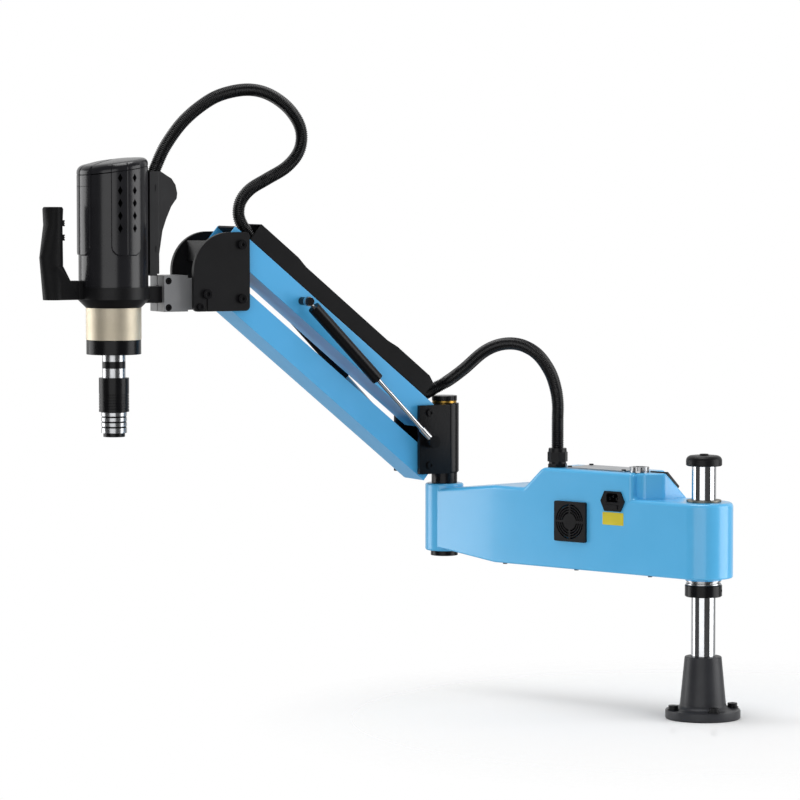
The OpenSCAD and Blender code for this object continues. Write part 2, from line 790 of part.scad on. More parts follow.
// Elbow: the pin stands in the first arm, the block turns on it
module elbow_pin() {
  stem = boss_h - elbow_boss_z;
  color("#4c4e52") on_arm1() translate([arm1_len, 0, 0]) {
    translate([0, 0, elbow_boss_z]) cylinder(r = elbow_pin_r, h = stem, $fn = 96);
    translate([0, 0, elbow_boss_z - elbow_cap_h]) cylinder(r = elbow_cap_r, h = elbow_cap_h, $fn = 96);
    translate([0, 0, boss_h]) cylinder(r = elbow_collar_r, h = elbow_collar_h, $fn = 96);
    translate([0, 0, boss_h + elbow_collar_h])
      cylinder(r = elbow_collar_r + edge, h = elbow_washer_t, $fn = 96);
    translate([0, 0, boss_h + elbow_collar_h])
      cylinder(r = elbow_pin_r - edge, h = elbow_washer_t + 2 * gap + hub_h + brass_t + elbow_nut_h / 2,
        $fn = 96);
  }
}
module brass_washer() {
  color("#c9a24a") translate([-arm1_len, 0, elbow_z + hub_h + gap])
    ring(brass_r, elbow_pin_r - edge, brass_t);
}
module elbow_nut() {
  flutes = 36;
  color("#141516") translate([-arm1_len, 0, elbow_z + hub_h + gap + brass_t]) difference() {
    cylinder(r = elbow_nut_r, h = elbow_nut_h, $fn = 96);
    translate([0, 0, -over]) cylinder(r = elbow_pin_r - edge, h = over + elbow_nut_h / 2 + gap, $fn = 64);
    for (i = [0:flutes - 1]) rotate([0, 0, 360 * i / flutes]) translate([elbow_nut_r, 0, -over])
      cylinder(r = groove / 2, h = elbow_nut_h, $fn = 16);
  }
}
module elbow_block() {
  outer = ear_gap + plate_t;
  color("#141517") on_arm2() {
    difference() {
      union() {
        cylinder(r = hub_r, h = hub_h, $fn = 96);
        block(ear_from, ear_to, outer, 0, hub_h);
      }
      block(slot_from, ear_to + over, ear_gap, -over, hub_h + over);
      translate([0, 0, -over])
        cylinder(r = elbow_pin_r - edge + elbow_bush_wall, h = hub_h + 2 * over, $fn = 96);
      for (z = [lower_pin_z, lower_pin_z + pin_gap]) translate([pin_out, 0, z])
        across(pin_r, -outer - over, outer + over);
    }
    both_sides() translate([pin_out - stud_back, 0, lower_pin_z + pin_gap - stud_drop]) {
      across(stud_r, outer, spring_side);
      translate([0, spring_side, 0]) sphere(r = ball_stud_r, $fn = 32);
    }
  }
}
module elbow_bushes() {
  inner = elbow_pin_r - edge;
  color("#b08d4a") on_arm2() for (z = [0, hub_h - elbow_bush_len]) translate([0, 0, z])
    ring(inner + elbow_bush_wall, inner + fit, elbow_bush_len);
}
module cross_pin(x, z, outer, head_d, head_h) {
  translate([x, 0, z]) {
    across(pin_r, -outer, outer);
    for (s = [-1, 1]) translate([0, s * outer, 0]) rotate([-90 * s, 0, 0]) difference() {
      cylinder(d = head_d, h = head_h, $fn = 48);
      translate([0, 0, head_h / 3]) cylinder(d = pin_d * hex_share, h = head_h, $fn = 6);
    }
  }
}
module rear_pivot_pins() {
  color("#1c1d20") on_arm2() {
    for (z = [lower_pin_z, lower_pin_z + pin_gap])
      cross_pin(pin_out, z, ear_gap + plate_t, pin_head_d, pin_head_h);
  }
}

// Links of the parallel lift
module link_side(top, bottom, front) {
  translate([-link_end, -bottom]) square([link_end + link_len + front, top + bottom]);
}
module channel(top, bottom, front) {
  half = link_w / 2;
  eye = pin_r + link_bush_wall;
  difference() {
    slab(-half, half) link_side(top, bottom, front);
    block(-2 * bottom, link_len + 2 * bottom, half - link_wall, link_wall - bottom, top + over);
    for (x = [0, link_len]) translate([x, 0, 0]) across(eye, -half - over, half + over);
  }
}
module link_bush_pair() {
  for (x = [0, link_len]) translate([x, 0, 0]) difference() {
    across(pin_r + link_bush_wall, gap - ear_gap, ear_gap - gap);
    across(pin_r + fit, -ear_gap, ear_gap);
  }
}
module upper_link() { color("#4a9ed6") on_upper() channel(upper_top, upper_bottom, upper_front); }
module upper_bushes() { color("#b08d4a") on_upper() link_bush_pair(); }
module lower_link() { color("#4a9ed6") on_lower() channel(lower_top, lower_bottom, link_end); }
module lower_bushes() { color("#b08d4a") on_lower() link_bush_pair(); }
module cover_line(drop, past) {
  span = cover_to - cover_from;
  last = len(cover_step_shares) - 1;
  top = [for (i = [0:last])
    [cover_from + span * cover_step_shares[i] + (i == 0 ? -past : i == last ? past : 0),
    upper_top + (cover_end_h - upper_top) * cover_rise_shares[i] - drop]];
  polygon(concat([[cover_from - past, upper_top - past]], top, [[cover_to + past, upper_top - past]]));
}
module cable_cover() {
  half = link_w / 2;
  color("#17181a") on_upper() {
    difference() {
      slab(-half, half) cover_line(0, 0);
      slab(-half + cover_wall, half - cover_wall) cover_line(cover_wall, over);
    }
    block(cover_to, link_len + upper_front, half - link_wall, upper_top + front_cap_proud - front_cap_t,
      upper_top + front_cap_proud);
  }
}
module link_studs() {
  outer = spring_side + spring_end_w / 2 + gap;
  color("#1b1c1e") on_upper() both_sides() translate([stud_on_link, 0, 0]) {
    across(stud_spacer_r, link_w / 2, spring_side - spring_end_w / 2 - gap);
    across(stud_r, link_w / 2, outer);
    across(stud_spacer_r, outer, outer + stud_head_h);
  }
}

// Gas springs, drawn from the link stud towards the elbow block
spring_dx = stud_on_link * cos(link_rise) + stud_back;
spring_dz = stud_on_link * sin(link_rise) + stud_drop;
spring_len = sqrt(spring_dx * spring_dx + spring_dz * spring_dz);
module on_springs() {
  on_arm2() both_sides()
    translate([pin_out + stud_on_link * cos(link_rise), spring_side,
      lower_pin_z + pin_gap + stud_on_link * sin(link_rise)])
      rotate([0, 180 - atan2(spring_dz, spring_dx), 0]) children();
}
module along(r, x0, x1) { translate([x0, 0, 0]) rotate([0, 90, 0]) cylinder(r = r, h = x1 - x0, $fn = 48); }
module gas_cylinders() {
  color("#1a1b1d") on_springs() {
    difference() {
      union() {
        across(spring_end_r, -spring_end_w / 2, spring_end_w / 2);
        along(spring_neck_r, 0, spring_start + over);
      }
      across(stud_r + fit, -spring_end_w, spring_end_w);
    }
    difference() {
      along(spring_r, spring_start, spring_end_at);
      along(spring_r - spring_wall, spring_start + 2 * cup_floor, spring_end_at - 2 * piston_t);
      along(rod_r + fit, spring_start + 2 * cup_floor, spring_end_at + over);
    }
  }
}
module gas_rods() {
  color("#d5d7da") on_springs() {
    along(rod_r, spring_end_at - rod_inside, spring_len - cup_r + over);
    along(spring_r - spring_wall - fit, spring_end_at - rod_inside, spring_end_at - rod_inside + piston_t);
    along(rod_ferrule_r, spring_len - cup_r - rod_ferrule_len, spring_len - cup_r + over);
    translate([spring_len, 0, 0]) difference() {
      across(cup_r, -cup_near, cup_w - cup_near);
      across(cup_bore_r, -cup_near - over, cup_w - cup_near - cup_floor);
    }
  }
}

// Head bracket: two plates on the front pins
module bracket_outline() {
  difference() {
    translate([-bracket_back, -bracket_down])
      square([bracket_front + bracket_back, bracket_up + bracket_down]);
    corner_cut([bracket_front, bracket_up], bracket_big_r, [1, 1]);
    corner_cut([-bracket_back, bracket_up], bracket_small_r, [-1, 1]);
    corner_cut([bracket_front, -bracket_down], bracket_small_r, [1, -1]);
    corner_cut([-bracket_back, -bracket_down], bracket_small_r, [-1, -1]);
  }
}
module head_bracket_plates() {
  color("#1b1c1e") on_bracket() difference() {
    both_sides() slab(ear_gap, ear_gap + plate_t) bracket_outline();
    for (z = [0, pin_gap]) translate([0, 0, z]) across(pin_r, -2 * link_w, 2 * link_w);
    translate([tilt_out, 0, tilt_up]) across(tilt_pin_r, -2 * link_w, 2 * link_w);
    translate([lock_out, 0, lock_up]) across(lock_r, -2 * link_w, 2 * link_w);
    block(tilt_out - plate_slit / 2, tilt_out + plate_slit / 2, 2 * link_w, -bracket_down - over, tilt_up);
  }
}
module bracket_spacer() {
  color("#1b1c1e") on_bracket() block(spacer_from, spacer_to, ear_gap, spacer_z, spacer_z + spacer_h);
}
module front_pivot_pins() {
  color("#1c1d20") on_bracket() {
    for (z = [0, pin_gap]) cross_pin(0, z, ear_gap + plate_t, front_head_d, front_head_h);
  }
}
module tilt_bolts() {
  outer = ear_gap + plate_t;
  color("#101112") on_bracket() {
    translate([tilt_out, 0, tilt_up]) {
      across(tilt_pin_r, -outer, outer);
      for (s = [-1, 1]) translate([0, s * outer, 0]) rotate([-90 * s, 0, 0]) difference() {
        cylinder(r = tilt_head_r, h = tilt_head_h, $fn = 48);
        translate([0, 0, tilt_head_h / 2]) cylinder(r = tilt_head_r * hex_share, h = tilt_head_h, $fn = 6);
      }
    }
    both_sides() translate([lock_out, outer, lock_up]) rotate([-90, 0, 0])
      cap_screw(lock_r, plate_t + ear_gap - block_half - gap, 2 * lock_r, lock_r);
  }
}
module tilt_block() {
  color("#55585c") on_tilt() difference() {
    union() {
      block(block_from, block_to, block_half, -block_down, block_up);
      block(-block_tail, block_from + over, block_half, -tail_up, tail_up);
      across(tilt_boss_r, gap - ear_gap, ear_gap - gap);
    }
    across(tilt_pin_r + fit, -ear_gap, ear_gap);
    along(spigot_r + fit, block_from / 2, block_to + over);
    translate([block_to - 2 * spigot_r, -block_slit / 2, -block_down - over])
      cube([2 * spigot_r + over, block_slit, block_up + block_down + 2 * over]);
    clamp_places() translate([0, 0, -4 * block_half])
      cylinder(r = clamp_screw_r, h = 4 * block_half, $fn = 32);
    clamp_places() cylinder(r = clamp_head_r + gap, h = clamp_head_h + over, $fn = 48);
  }
}
module clamp_places() {
  for (z = [-clamp_up, clamp_up]) translate([clamp_at, block_half - clamp_head_h, z]) rotate([-90, 0, 0])
    children();
}
module clamp_screws() {
  color("#101112") on_tilt() clamp_places()
    cap_screw(clamp_screw_r, 2 * block_half - 2 * clamp_head_h, clamp_head_r, clamp_head_h - over / 2);
}

// Tapping head
module head_frame() {
  r = head_ring_r;
  cone_r = gearbox_d / 2;
  color("#232427") on_head() {
    difference() {
      union() {
        translate([0, 0, -head_ring_down]) cylinder(r = r, h = head_ring_down + head_ring_up, $fn = 128);
        translate([0, 0, -head_ring_down - head_cone_h])
          cylinder(r1 = cone_r, r2 = r, h = head_cone_h, $fn = 128);
        block(-lug_reach, -r / 2, lug_half, -head_ring_down - head_cone_h / 2, head_ring_up);
      }
      translate([0, 0, -head_ring_down - head_cone_h - over])
        cylinder(r = head_bore_r, h = head_ring_down + head_cone_h + 2 * over, $fn = 96);
      cylinder(r = r - cover_shell - 2 * edge, h = 2 * head_ring_up, $fn = 96);
    }
    difference() {
      along(spigot_r, -head_out + block_from / 2 + edge, -lug_reach);
      translate([-head_out, 0, 0]) along(spigot_r / 2, 0, head_out);
    }
  }
}
module motor() {
  color("#1d1f22") on_head() {
    linear_extrude(motor_flange_h) rounded(1.2 * motor_side, 1.2 * motor_side, 2 * edge);
    translate([0, 0, motor_flange_h]) linear_extrude(motor_h - motor_flange_h)
      rounded(motor_side, motor_side, 3 * edge);
    translate([0, 0, motor_h]) linear_extrude(encoder_h) rounded(encoder_side, encoder_side, 2 * edge);
    translate([0, 0, -head_ring_down - head_cone_h + edge])
      cylinder(r = head_bore_r - edge, h = head_ring_down + head_cone_h - edge, $fn = 64);
  }
}
module cover_top_cut() {
  translate([0, 0, cover_h - cover_d / 2 * sin(cover_slope)]) rotate([0, cover_slope, 0])
    translate([-cover_d, -cover_d, 0]) cube([2 * cover_d, 2 * cover_d, cover_h]);
}
module cover_panel() {
  r = cover_d / 2 - panel_step;
  x = r * cos(panel_half);
  y = r * sin(panel_half);
  inner = x - panel_proud - edge;
  difference() {
    translate([0, 0, panel_foot - panel_taper]) linear_extrude(cover_h)
      polygon([[inner, -y], [x, -y], [cover_d / 2 + panel_ridge, 0], [x, y], [inner, y]]);
    translate([0, 0, panel_foot]) for (s = [-1, 1]) rotate([s * panel_foot_turn, 0, 0])
      translate([0, -cover_d, -cover_h]) cube([cover_d, 2 * cover_d, cover_h - panel_taper]);
  }
}
module motor_cover() {
  r = cover_d / 2;
  inner = r - panel_proud - cover_shell;
  color("#2a2b2e") on_head() translate([0, 0, head_ring_up]) difference() {
    union() {
      cylinder(r = r - panel_proud, h = cover_h + r * sin(cover_slope), $fn = 128);
      for (turn = [0, 90, 270]) rotate([0, 0, turn]) cover_panel();
      cylinder(r = r, h = panel_foot - 2 * panel_taper, $fn = 128);
    }
    difference() {
      translate([0, 0, -over]) cylinder(r = inner, h = 2 * cover_h, $fn = 128);
      translate([0, 0, -cover_shell]) cover_top_cut();
    }
    cover_top_cut();
    for (s = [90, 270], t = [-vent_turn, vent_turn], k = [0:vent_rows - 1]) rotate([0, 0, s + t])
      translate([inner - edge, 0, vent_low - head_ring_up + k * vent_pitch]) rotate([90, 0, 90])
        linear_extrude(cover_d / 2)
          polygon([[-vent_w / 2, 0], [0, vent_h / 2], [vent_w / 2, 0], [0, -vent_h / 2]]);
  }
}
module fin_outline(inset) {
  offset(delta = -inset) polygon([for (p = fin_shares) [-fin_root - p.x * fin_depth, fin_z + p.y * fin_h]]);
}
module cable_fin() {
  color("#2c2d30") on_head() difference() {
    slab(-fin_half, fin_half) fin_outline(0);
    slab(-fin_half + fin_wall, fin_half - fin_wall) fin_outline(fin_wall);
    cylinder(r = cover_d / 2 + fit, h = 2 * cover_h, $fn = 128);
    translate([-fin_exit_out, 0, fin_exit_up]) rotate([0, -fin_exit_lean, 0])
      cylinder(r = conduit_d / 2 + gap, h = fin_depth, $fn = 64);
  }
}
module gearbox_ring() {
  color("#cbb994") on_spindle() translate([0, 0, lower_ring_h]) difference() {
    cylinder(d = gearbox_d, h = gearbox_h, $fn = 128);
    translate([0, 0, -over]) cylinder(r = bearing_r, h = gearbox_h + 2 * over, $fn = 96);
  }
}
module lower_ring() {
  color("#18191b") on_spindle()
    ring(gearbox_d / 2 - lower_ring_step, spindle_core_r + 4 * edge, lower_ring_h);
}
module spindle_bearings() {
  color("#b9bcbf") on_spindle() for (z = [0, gearbox_h - bearing_h]) translate([0, 0, lower_ring_h + z])
    ring(bearing_r, spindle_core_r + fit, bearing_h);
}
module spindle() {
  color("#c3c6c9") on_spindle() difference() {
    union() {
      cylinder(r = spindle_core_r, h = lower_ring_h + gearbox_h - edge, $fn = 96);
      translate([0, 0, -spindle_h]) cylinder(d = spindle_d, h = spindle_h - gap, $fn = 96);
      translate([0, 0, -gap - over]) cylinder(r = spindle_core_r, h = 2 * over, $fn = 96);
      translate([0, 0, -spindle_h - nose_h]) cylinder(r = nose_r, h = nose_h + over, $fn = 96);
    }
    translate([0, 0, -spindle_h - nose_h - over])
      cylinder(r = adapter_shank_r, h = adapter_shank_h + 3 * over, $fn = 96);
  }
}
module chuck_sleeve() {
  r = sleeve_d / 2;
  pitch = sleeve_h / 2 / sleeve_grooves;
  color("#151618") on_spindle() translate([0, 0, -spindle_h - sleeve_h]) difference() {
    cylinder(r = r, h = sleeve_h, $fn = 128);
    translate([0, 0, -over]) cylinder(r = nose_r + fit, h = sleeve_h + 2 * over, $fn = 96);
    translate([0, 0, sleeve_lip_z + sleeve_lip_h]) cylinder(r = spindle_d / 2 + fit, h = sleeve_h, $fn = 96);
    translate([0, 0, -over]) cylinder(r = nose_r + 2 * edge, h = sleeve_lip_z + over, $fn = 96);
    for (i = [1:sleeve_grooves]) translate([0, 0, i * pitch]) ring(r + over, r - groove, groove);
  }
}
module tap_adapter() {
  r = adapter_d / 2;
  pitch = adapter_h / (adapter_grooves + 1);
  color("#aeb1b5") on_spindle() translate([0, 0, -spindle_h - sleeve_h - over]) difference() {
    union() {
      translate([0, 0, -adapter_h]) cylinder(r = r, h = adapter_h, $fn = 128);
      translate([0, 0, -adapter_h - adapter_foot_h])
        cylinder(r = adapter_foot_r, h = adapter_foot_h, $fn = 96);
      translate([0, 0, -over]) cylinder(r = adapter_shank_r - fit, h = adapter_shank_h + over, $fn = 96);
    }
    translate([0, 0, -adapter_h - adapter_foot_h - over]) cylinder(d = tap_d, h = tap_depth + over, $fn = 64);
    for (i = [1:adapter_grooves]) translate([0, 0, -i * pitch]) ring(r + over, r - groove, 2 * groove);
  }
}

// Handle with two push buttons
module handle_arm() {
  color("#1a1b1d") on_head() difference() {
    block(arm_from, grip_from - gap, arm_half, -head_ring_down, arm_up);
    cylinder(r = head_ring_r + fit, h = 4 * arm_up, center = true, $fn = 128);
  }
}
module grip_slice(z, x_grow, dx) {
  translate([dx, 0, z]) resize([2 * grip_r + x_grow, 2 * grip_r - x_grow, edge])
    cylinder(r = grip_r, h = edge, $fn = 32);
}
module handle_grip() {
  foot = -head_ring_down;
  foot_h = arm_up - foot;
  color("#1c1d1f") on_head() translate([grip_out, 0, foot]) difference() {
    union() {
      block(grip_from - grip_out, 0, arm_half, 0, foot_h);
      hull() {
        block(flare_from - grip_out, 0, arm_half, foot_h - edge, foot_h);
        grip_slice(foot_h + flare_h, 0, 0);
      }
      hull() {
        grip_slice(0, 0, 0);
        grip_slice(grip_h * 0.45, grip_swell, grip_swell / 2);
      }
      hull() {
        grip_slice(grip_h * 0.45, grip_swell, grip_swell / 2);
        grip_slice(grip_h * 0.8, -grip_swell / 2, 0);
      }
      hull() {
        grip_slice(grip_h * 0.8, -grip_swell / 2, 0);
        grip_slice(grip_h - 3 * edge, 0, 0);
        grip_slice(grip_h - edge, -4 * edge, 0);
      }
    }
    for (z = [button_z_upper, button_z_lower])
      translate([-2 * grip_r, -button_w / 2 - button_play, z - foot - button_h / 2 - button_play])
        cube([grip_r + button_depth + button_play + grip_swell, button_w + 2 * button_play,
          button_h + 2 * button_play]);
  }
}
module push_button(z) {
  on_head() translate([grip_out - grip_r - button_proud, -button_w / 2, z - button_h / 2])
    cube([button_proud + button_depth, button_w, button_h]);
}
module button_upper() { color("#2d2e31") push_button(button_z_upper); }
module button_lower() { color("#2d2e31") push_button(button_z_lower); }

// Ribbed conduits: rings of points along a smooth route, crest and root in turn
function seg_len(p, i) = norm(p[i + 1] - p[i]);
function spline(a, b, c, d, t) = 0.5 * (2 * b + (c - a) * t + (2 * a - 5 * b + 4 * c - d) * t * t
  + (3 * b - a - 3 * c + d) * t * t * t);
function route_at(p, i, t) = spline(p[max(i - 1, 0)], p[i], p[i + 1], p[min(i + 2, len(p) - 1)], t);
function fine(p, n) = [for (i = [0:len(p) - 2], k = [0:n - 1]) route_at(p, i, k / n), p[len(p) - 1]];
function sums(p, i = 0, acc = 0, out = [0]) = i == len(p) - 1 ? out
  : sums(p, i + 1, acc + seg_len(p, i), concat(out, [acc + seg_len(p, i)]));
function find(s, v, lo, hi) = hi - lo < 2 ? lo
  : s[floor((lo + hi) / 2)] > v ? find(s, v, lo, floor((lo + hi) / 2)) : find(s, v, floor((lo + hi) / 2), hi);
function at_length(p, s, v) = let (i = find(s, v, 0, len(s) - 1))
  p[i] + (p[i + 1] - p[i]) * (v - s[i]) / (s[i + 1] - s[i]);
function unit(v) = v / norm(v);
function ring_points(c, t, side, r) = let (u = unit(cross(t, side)), w = unit(cross(u, t)))
  [for (a = [0:hose_sides - 1]) c + r * (cos(360 * a / hose_sides) * u + sin(360 * a / hose_sides) * w)];
function skin(a, b, n) = [for (i = [0:n - 1], k = [0:hose_sides - 1]) let (m = (k + 1) % hose_sides,
  p = a + i * hose_sides, q = p + hose_sides) each [[p + k, q + k, q + m], [p + k, q + m, p + m]]];
function flipped(f) = [for (t = f) [t[2], t[1], t[0]]];
module hose(route, side) {
  line = fine(route, 8);
  s = sums(line);
  total = s[len(s) - 1];
  ribs = floor((total - 2 * conduit_d) / rib_pitch);
  plain = (total - ribs * rib_pitch) / 2;
  r = conduit_d / 2;
  stations = concat([[0, r]], [for (i = [0:ribs - 1]) each [[plain + i * rib_pitch, r],
    [plain + (i + 0.5) * rib_pitch, r - rib_depth]]], [[plain + ribs * rib_pitch, r], [total, r]]);
  inner = [for (i = [0:hose_stride:len(stations) - 2]) stations[i], stations[len(stations) - 1]];
  outer_rings = [for (p = stations) each ring_points(at_length(line, s, p[0]),
    tangent(line, s, p[0], total), side, p[1])];
  inner_rings = [for (p = inner) each ring_points(at_length(line, s, p[0]),
    tangent(line, s, p[0], total), side, r - conduit_wall)];
  n = len(stations);
  m = len(inner);
  base = n * hose_sides;
  last = (n - 1) * hose_sides;
  inner_last = base + (m - 1) * hose_sides;
  ends = [for (k = [0:hose_sides - 1]) let (j = (k + 1) % hose_sides) each
    [[k, j, base + j], [k, base + j, base + k], [last + j, last + k, inner_last + k],
      [last + j, inner_last + k, inner_last + j]]];
  echo(ribs = ribs, length = total);
  polyhedron(concat(outer_rings, inner_rings),
    concat(skin(0, n, n - 1), flipped(skin(base, m, m - 1)), ends));
}
function tangent(line, s, v, total) = let (h = conduit_d / 8, a = max(v - h, 0), b = min(v + h, total))
  unit(at_length(line, s, b) - at_length(line, s, a));
module arm_conduit() { color("#121314") hose(arm_route, [0.05, 1, 0]); }
module head_conduit() {
  color("#121314") translate([-arm1_len, 0, 0]) rotate([0, 0, arm2_yaw])
    hose([for (p = head_route) [p.x, 0, p.y]], [0, 1, 0]);
}

column_base();
base_bolts();
column();
column_cap();
stop_collar();
collar_screw();
thrust_bearing();
arm_housing();
column_bushes();
top_cover();
bottom_cover();
cover_screws();
control_panel();
touch_screen();
signal_socket();
fan_guard();
fan_frame();
fan_impeller();
power_inlet();
fuse_drawer();
blank_label();
cable_gland();
servo_drive();
power_supply();
elbow_pin();
brass_washer();
elbow_nut();
elbow_block();
elbow_bushes();
rear_pivot_pins();
upper_link();
upper_bushes();
cable_cover();
link_studs();
lower_link();
lower_bushes();
gas_cylinders();
gas_rods();
head_bracket_plates();
bracket_spacer();
front_pivot_pins();
tilt_bolts();
tilt_block();
clamp_screws();
head_frame();
motor();
motor_cover();
cable_fin();
gearbox_ring();
lower_ring();
spindle_bearings();
spindle();
chuck_sleeve();
tap_adapter();
handle_arm();
handle_grip();
button_upper();
button_lower();
arm_conduit();
head_conduit();
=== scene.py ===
"""Arm tapping machine, dressed: finishes, softened castings, ribbed conduits, stage, lamps and camera.

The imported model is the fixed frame. Pieces are drawn in millimetres in the frame of the sub-part that
carries them, and a placing matrix brings them to metres in the row frame.
"""
import json
from math import cos, hypot, pi, radians, sin

import bmesh
import bpy
from mathutils import Matrix, Vector


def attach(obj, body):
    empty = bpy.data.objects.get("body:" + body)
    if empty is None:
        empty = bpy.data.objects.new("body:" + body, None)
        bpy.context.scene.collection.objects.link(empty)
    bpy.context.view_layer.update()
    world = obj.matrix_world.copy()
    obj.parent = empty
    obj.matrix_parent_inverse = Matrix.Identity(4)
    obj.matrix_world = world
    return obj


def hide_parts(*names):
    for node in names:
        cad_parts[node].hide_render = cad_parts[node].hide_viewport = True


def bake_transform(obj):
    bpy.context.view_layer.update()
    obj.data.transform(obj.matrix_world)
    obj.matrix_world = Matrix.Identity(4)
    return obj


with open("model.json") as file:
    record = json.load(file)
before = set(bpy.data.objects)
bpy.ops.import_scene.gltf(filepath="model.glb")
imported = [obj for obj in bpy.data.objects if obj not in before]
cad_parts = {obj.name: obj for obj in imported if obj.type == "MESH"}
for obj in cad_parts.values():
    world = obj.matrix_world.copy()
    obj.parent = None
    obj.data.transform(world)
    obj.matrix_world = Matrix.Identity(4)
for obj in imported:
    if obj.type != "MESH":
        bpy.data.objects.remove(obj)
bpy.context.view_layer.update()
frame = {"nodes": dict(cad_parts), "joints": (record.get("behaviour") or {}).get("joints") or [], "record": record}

MM = 0.001
BODY_OF = {node: body for body, nodes in frame["record"]["behaviour"]["bodies"].items() for node in nodes}
JOINT = {joint["name"]: joint for joint in frame["joints"]}

# Driving dimensions, in millimetres, as the frame has them
ARM_ROOT_Z = 231.0
ARM1_LEN = 563.3
ARM2_YAW = 250.0
CONDUIT_D = 21.2
CONDUIT_RIB = 3.1
CONDUIT_RIB_DEPTH = 1.5
# The conduits' routes in the row frame: the head's as (out, up) in the second arm's plane, the other's as
# (x, y, z)
HEAD_ROUTE = [
    (551, 885), (544, 902), (527, 935), (496, 974), (458, 1004), (423, 1021), (378, 1029), (340, 1023),
    (305, 1003), (282, 976), (275, 950), (282, 923), (305, 899), (340, 880), (371, 863), (389, 843),
    (393, 820), (385, 800), (372, 785), (360, 770),
]
ARM_ROUTE = [
    (-596, -86, 501), (-585, -60, 502), (-578, -40, 508), (-570, -18, 519), (-554, -3, 531),
    (-517, -3, 553), (-474, -5, 582), (-440, -7, 596), (-405, -9, 601), (-372, -11, 597),
    (-339, -15, 583), (-312, -18, 557), (-297, -21, 530), (-290, -23.5, 504), (-289, -25, 480),
    (-289, -25, 452), (-289, -25, 428),
]


# Placing matrices: millimetres in a sub-part's own frame to metres in the row frame
def turned(angle, axis):
    return Matrix.Rotation(radians(angle), 4, axis)


def moved(x, y, z):
    return Matrix.Translation((x, y, z))


def joint_frame(name):
    return Matrix.Translation(Vector(JOINT[name]["pos_m"])) @ Matrix.Scale(MM, 4)


ROW = Matrix.Scale(MM, 4)
ARM1 = ROW @ moved(0, 0, ARM_ROOT_Z) @ turned(180, "Z")
HEAD = joint_frame("head_roll") @ turned(ARM2_YAW, "Z")
SPINDLE = joint_frame("spindle_spin") @ turned(ARM2_YAW, "Z")


# Materials: one function adds a shader node, with its settings and its links
def linear(hex_colour):
    channels = [int(hex_colour[i:i + 2], 16) / 255 for i in (1, 3, 5)]
    return [c / 12.92 if c <= 0.04045 else ((c + 0.055) / 1.055) ** 2.4 for c in channels] + [1.0]


def add(tree, kind, inputs=(), **settings):
    made = tree.nodes.new(kind)
    for name, value in settings.items():
        setattr(made, name, value)
    for socket, value in dict(inputs).items():
        if isinstance(value, bpy.types.NodeSocket):
            tree.links.new(value, made.inputs[socket])
        else:
            made.inputs[socket].default_value = value
    return made


def finish(name, **settings):
    """A material with a Principled shader; the settings are its sockets' values."""
    material = bpy.data.materials.new(name)
    material.use_nodes = True
    tree = material.node_tree
    tree.nodes.clear()
    shader = add(tree, "ShaderNodeBsdfPrincipled", settings.items())
    output = add(tree, "ShaderNodeOutputMaterial")
    tree.links.new(shader.outputs["BSDF"], output.inputs["Surface"])
    return material, tree, shader


def noise(tree, size_mm, detail, stretch=(1, 1, 1)):
    """Noise whose grains are about size_mm across, in the object's own coordinates."""
    place = add(tree, "ShaderNodeTexCoord")
    mapping = add(tree, "ShaderNodeMapping", {"Vector": place.outputs["Object"], "Scale": stretch})
    return add(tree, "ShaderNodeTexNoise", {"Vector": mapping.outputs["Vector"], "Detail": detail,
                                            "Scale": 1 / (size_mm * MM), "Roughness": 0.55})


def spread(tree, value, low, high):
    """The value, from 0.3 to 0.7, mapped to a range."""
    return add(tree, "ShaderNodeMapRange", {"Value": value, "From Min": 0.3, "From Max": 0.7,
                                            "To Min": low, "To Max": high}).outputs["Result"]


def tint(tree, value, dark, light):
    """A colour between two hex colours, by the value."""
    mix = add(tree, "ShaderNodeMix", data_type="RGBA")
    tree.links.new(spread(tree, value, 0, 1), mix.inputs["Factor"])
    mix.inputs[6].default_value = linear(dark)
    mix.inputs[7].default_value = linear(light)
    return mix.outputs[2]


def bump(tree, shader, height, depth_mm):
    made = add(tree, "ShaderNodeBump", {"Height": height, "Strength": 1.0, "Distance": depth_mm * MM})
    tree.links.new(made.outputs["Normal"], shader.inputs["Normal"])


# How wide the slow changes of colour and gloss are, in millimetres
PAINT_CLOUD = 60
PAINT_SMEAR = 18
METAL_CLOUD = 25
PLASTIC_CLOUD = 40
GLASS_SMEAR = 22


def painted(name, dark, light, roughness, peel_mm, peel_depth, coat=0.0, coat_roughness=0.1, shine=0.5):
    """Paint: a slight drift of colour, uneven gloss, and the peel of a sprayed coat."""
    material, tree, shader = finish(name, **{"IOR": 1.5, "Specular IOR Level": shine, "Coat Weight": coat,
                                             "Coat Roughness": coat_roughness})
    cloud = noise(tree, PAINT_CLOUD, 2)
    tree.links.new(tint(tree, cloud.outputs["Fac"], dark, light), shader.inputs["Base Color"])
    smear = noise(tree, PAINT_SMEAR, 3)
    gloss = spread(tree, smear.outputs["Fac"], roughness * 0.95, roughness * 1.05)
    tree.links.new(gloss, shader.inputs["Roughness"])
    peel = noise(tree, peel_mm, 2)
    bump(tree, shader, peel.outputs["Fac"], peel_depth)
    return material


def machined(name, dark, light, roughness, pitch_mm, depth_mm, stretch):
    """Bare metal: fine lines left by the tool, along or round the piece, and uneven shine."""
    material, tree, shader = finish(name, Metallic=1.0)
    cloud = noise(tree, METAL_CLOUD, 3)
    tree.links.new(tint(tree, cloud.outputs["Fac"], dark, light), shader.inputs["Base Color"])
    lines = noise(tree, pitch_mm, 2, stretch)
    gloss = spread(tree, lines.outputs["Fac"], roughness * 0.8, roughness * 1.25)
    tree.links.new(gloss, shader.inputs["Roughness"])
    bump(tree, shader, lines.outputs["Fac"], depth_mm)
    return material


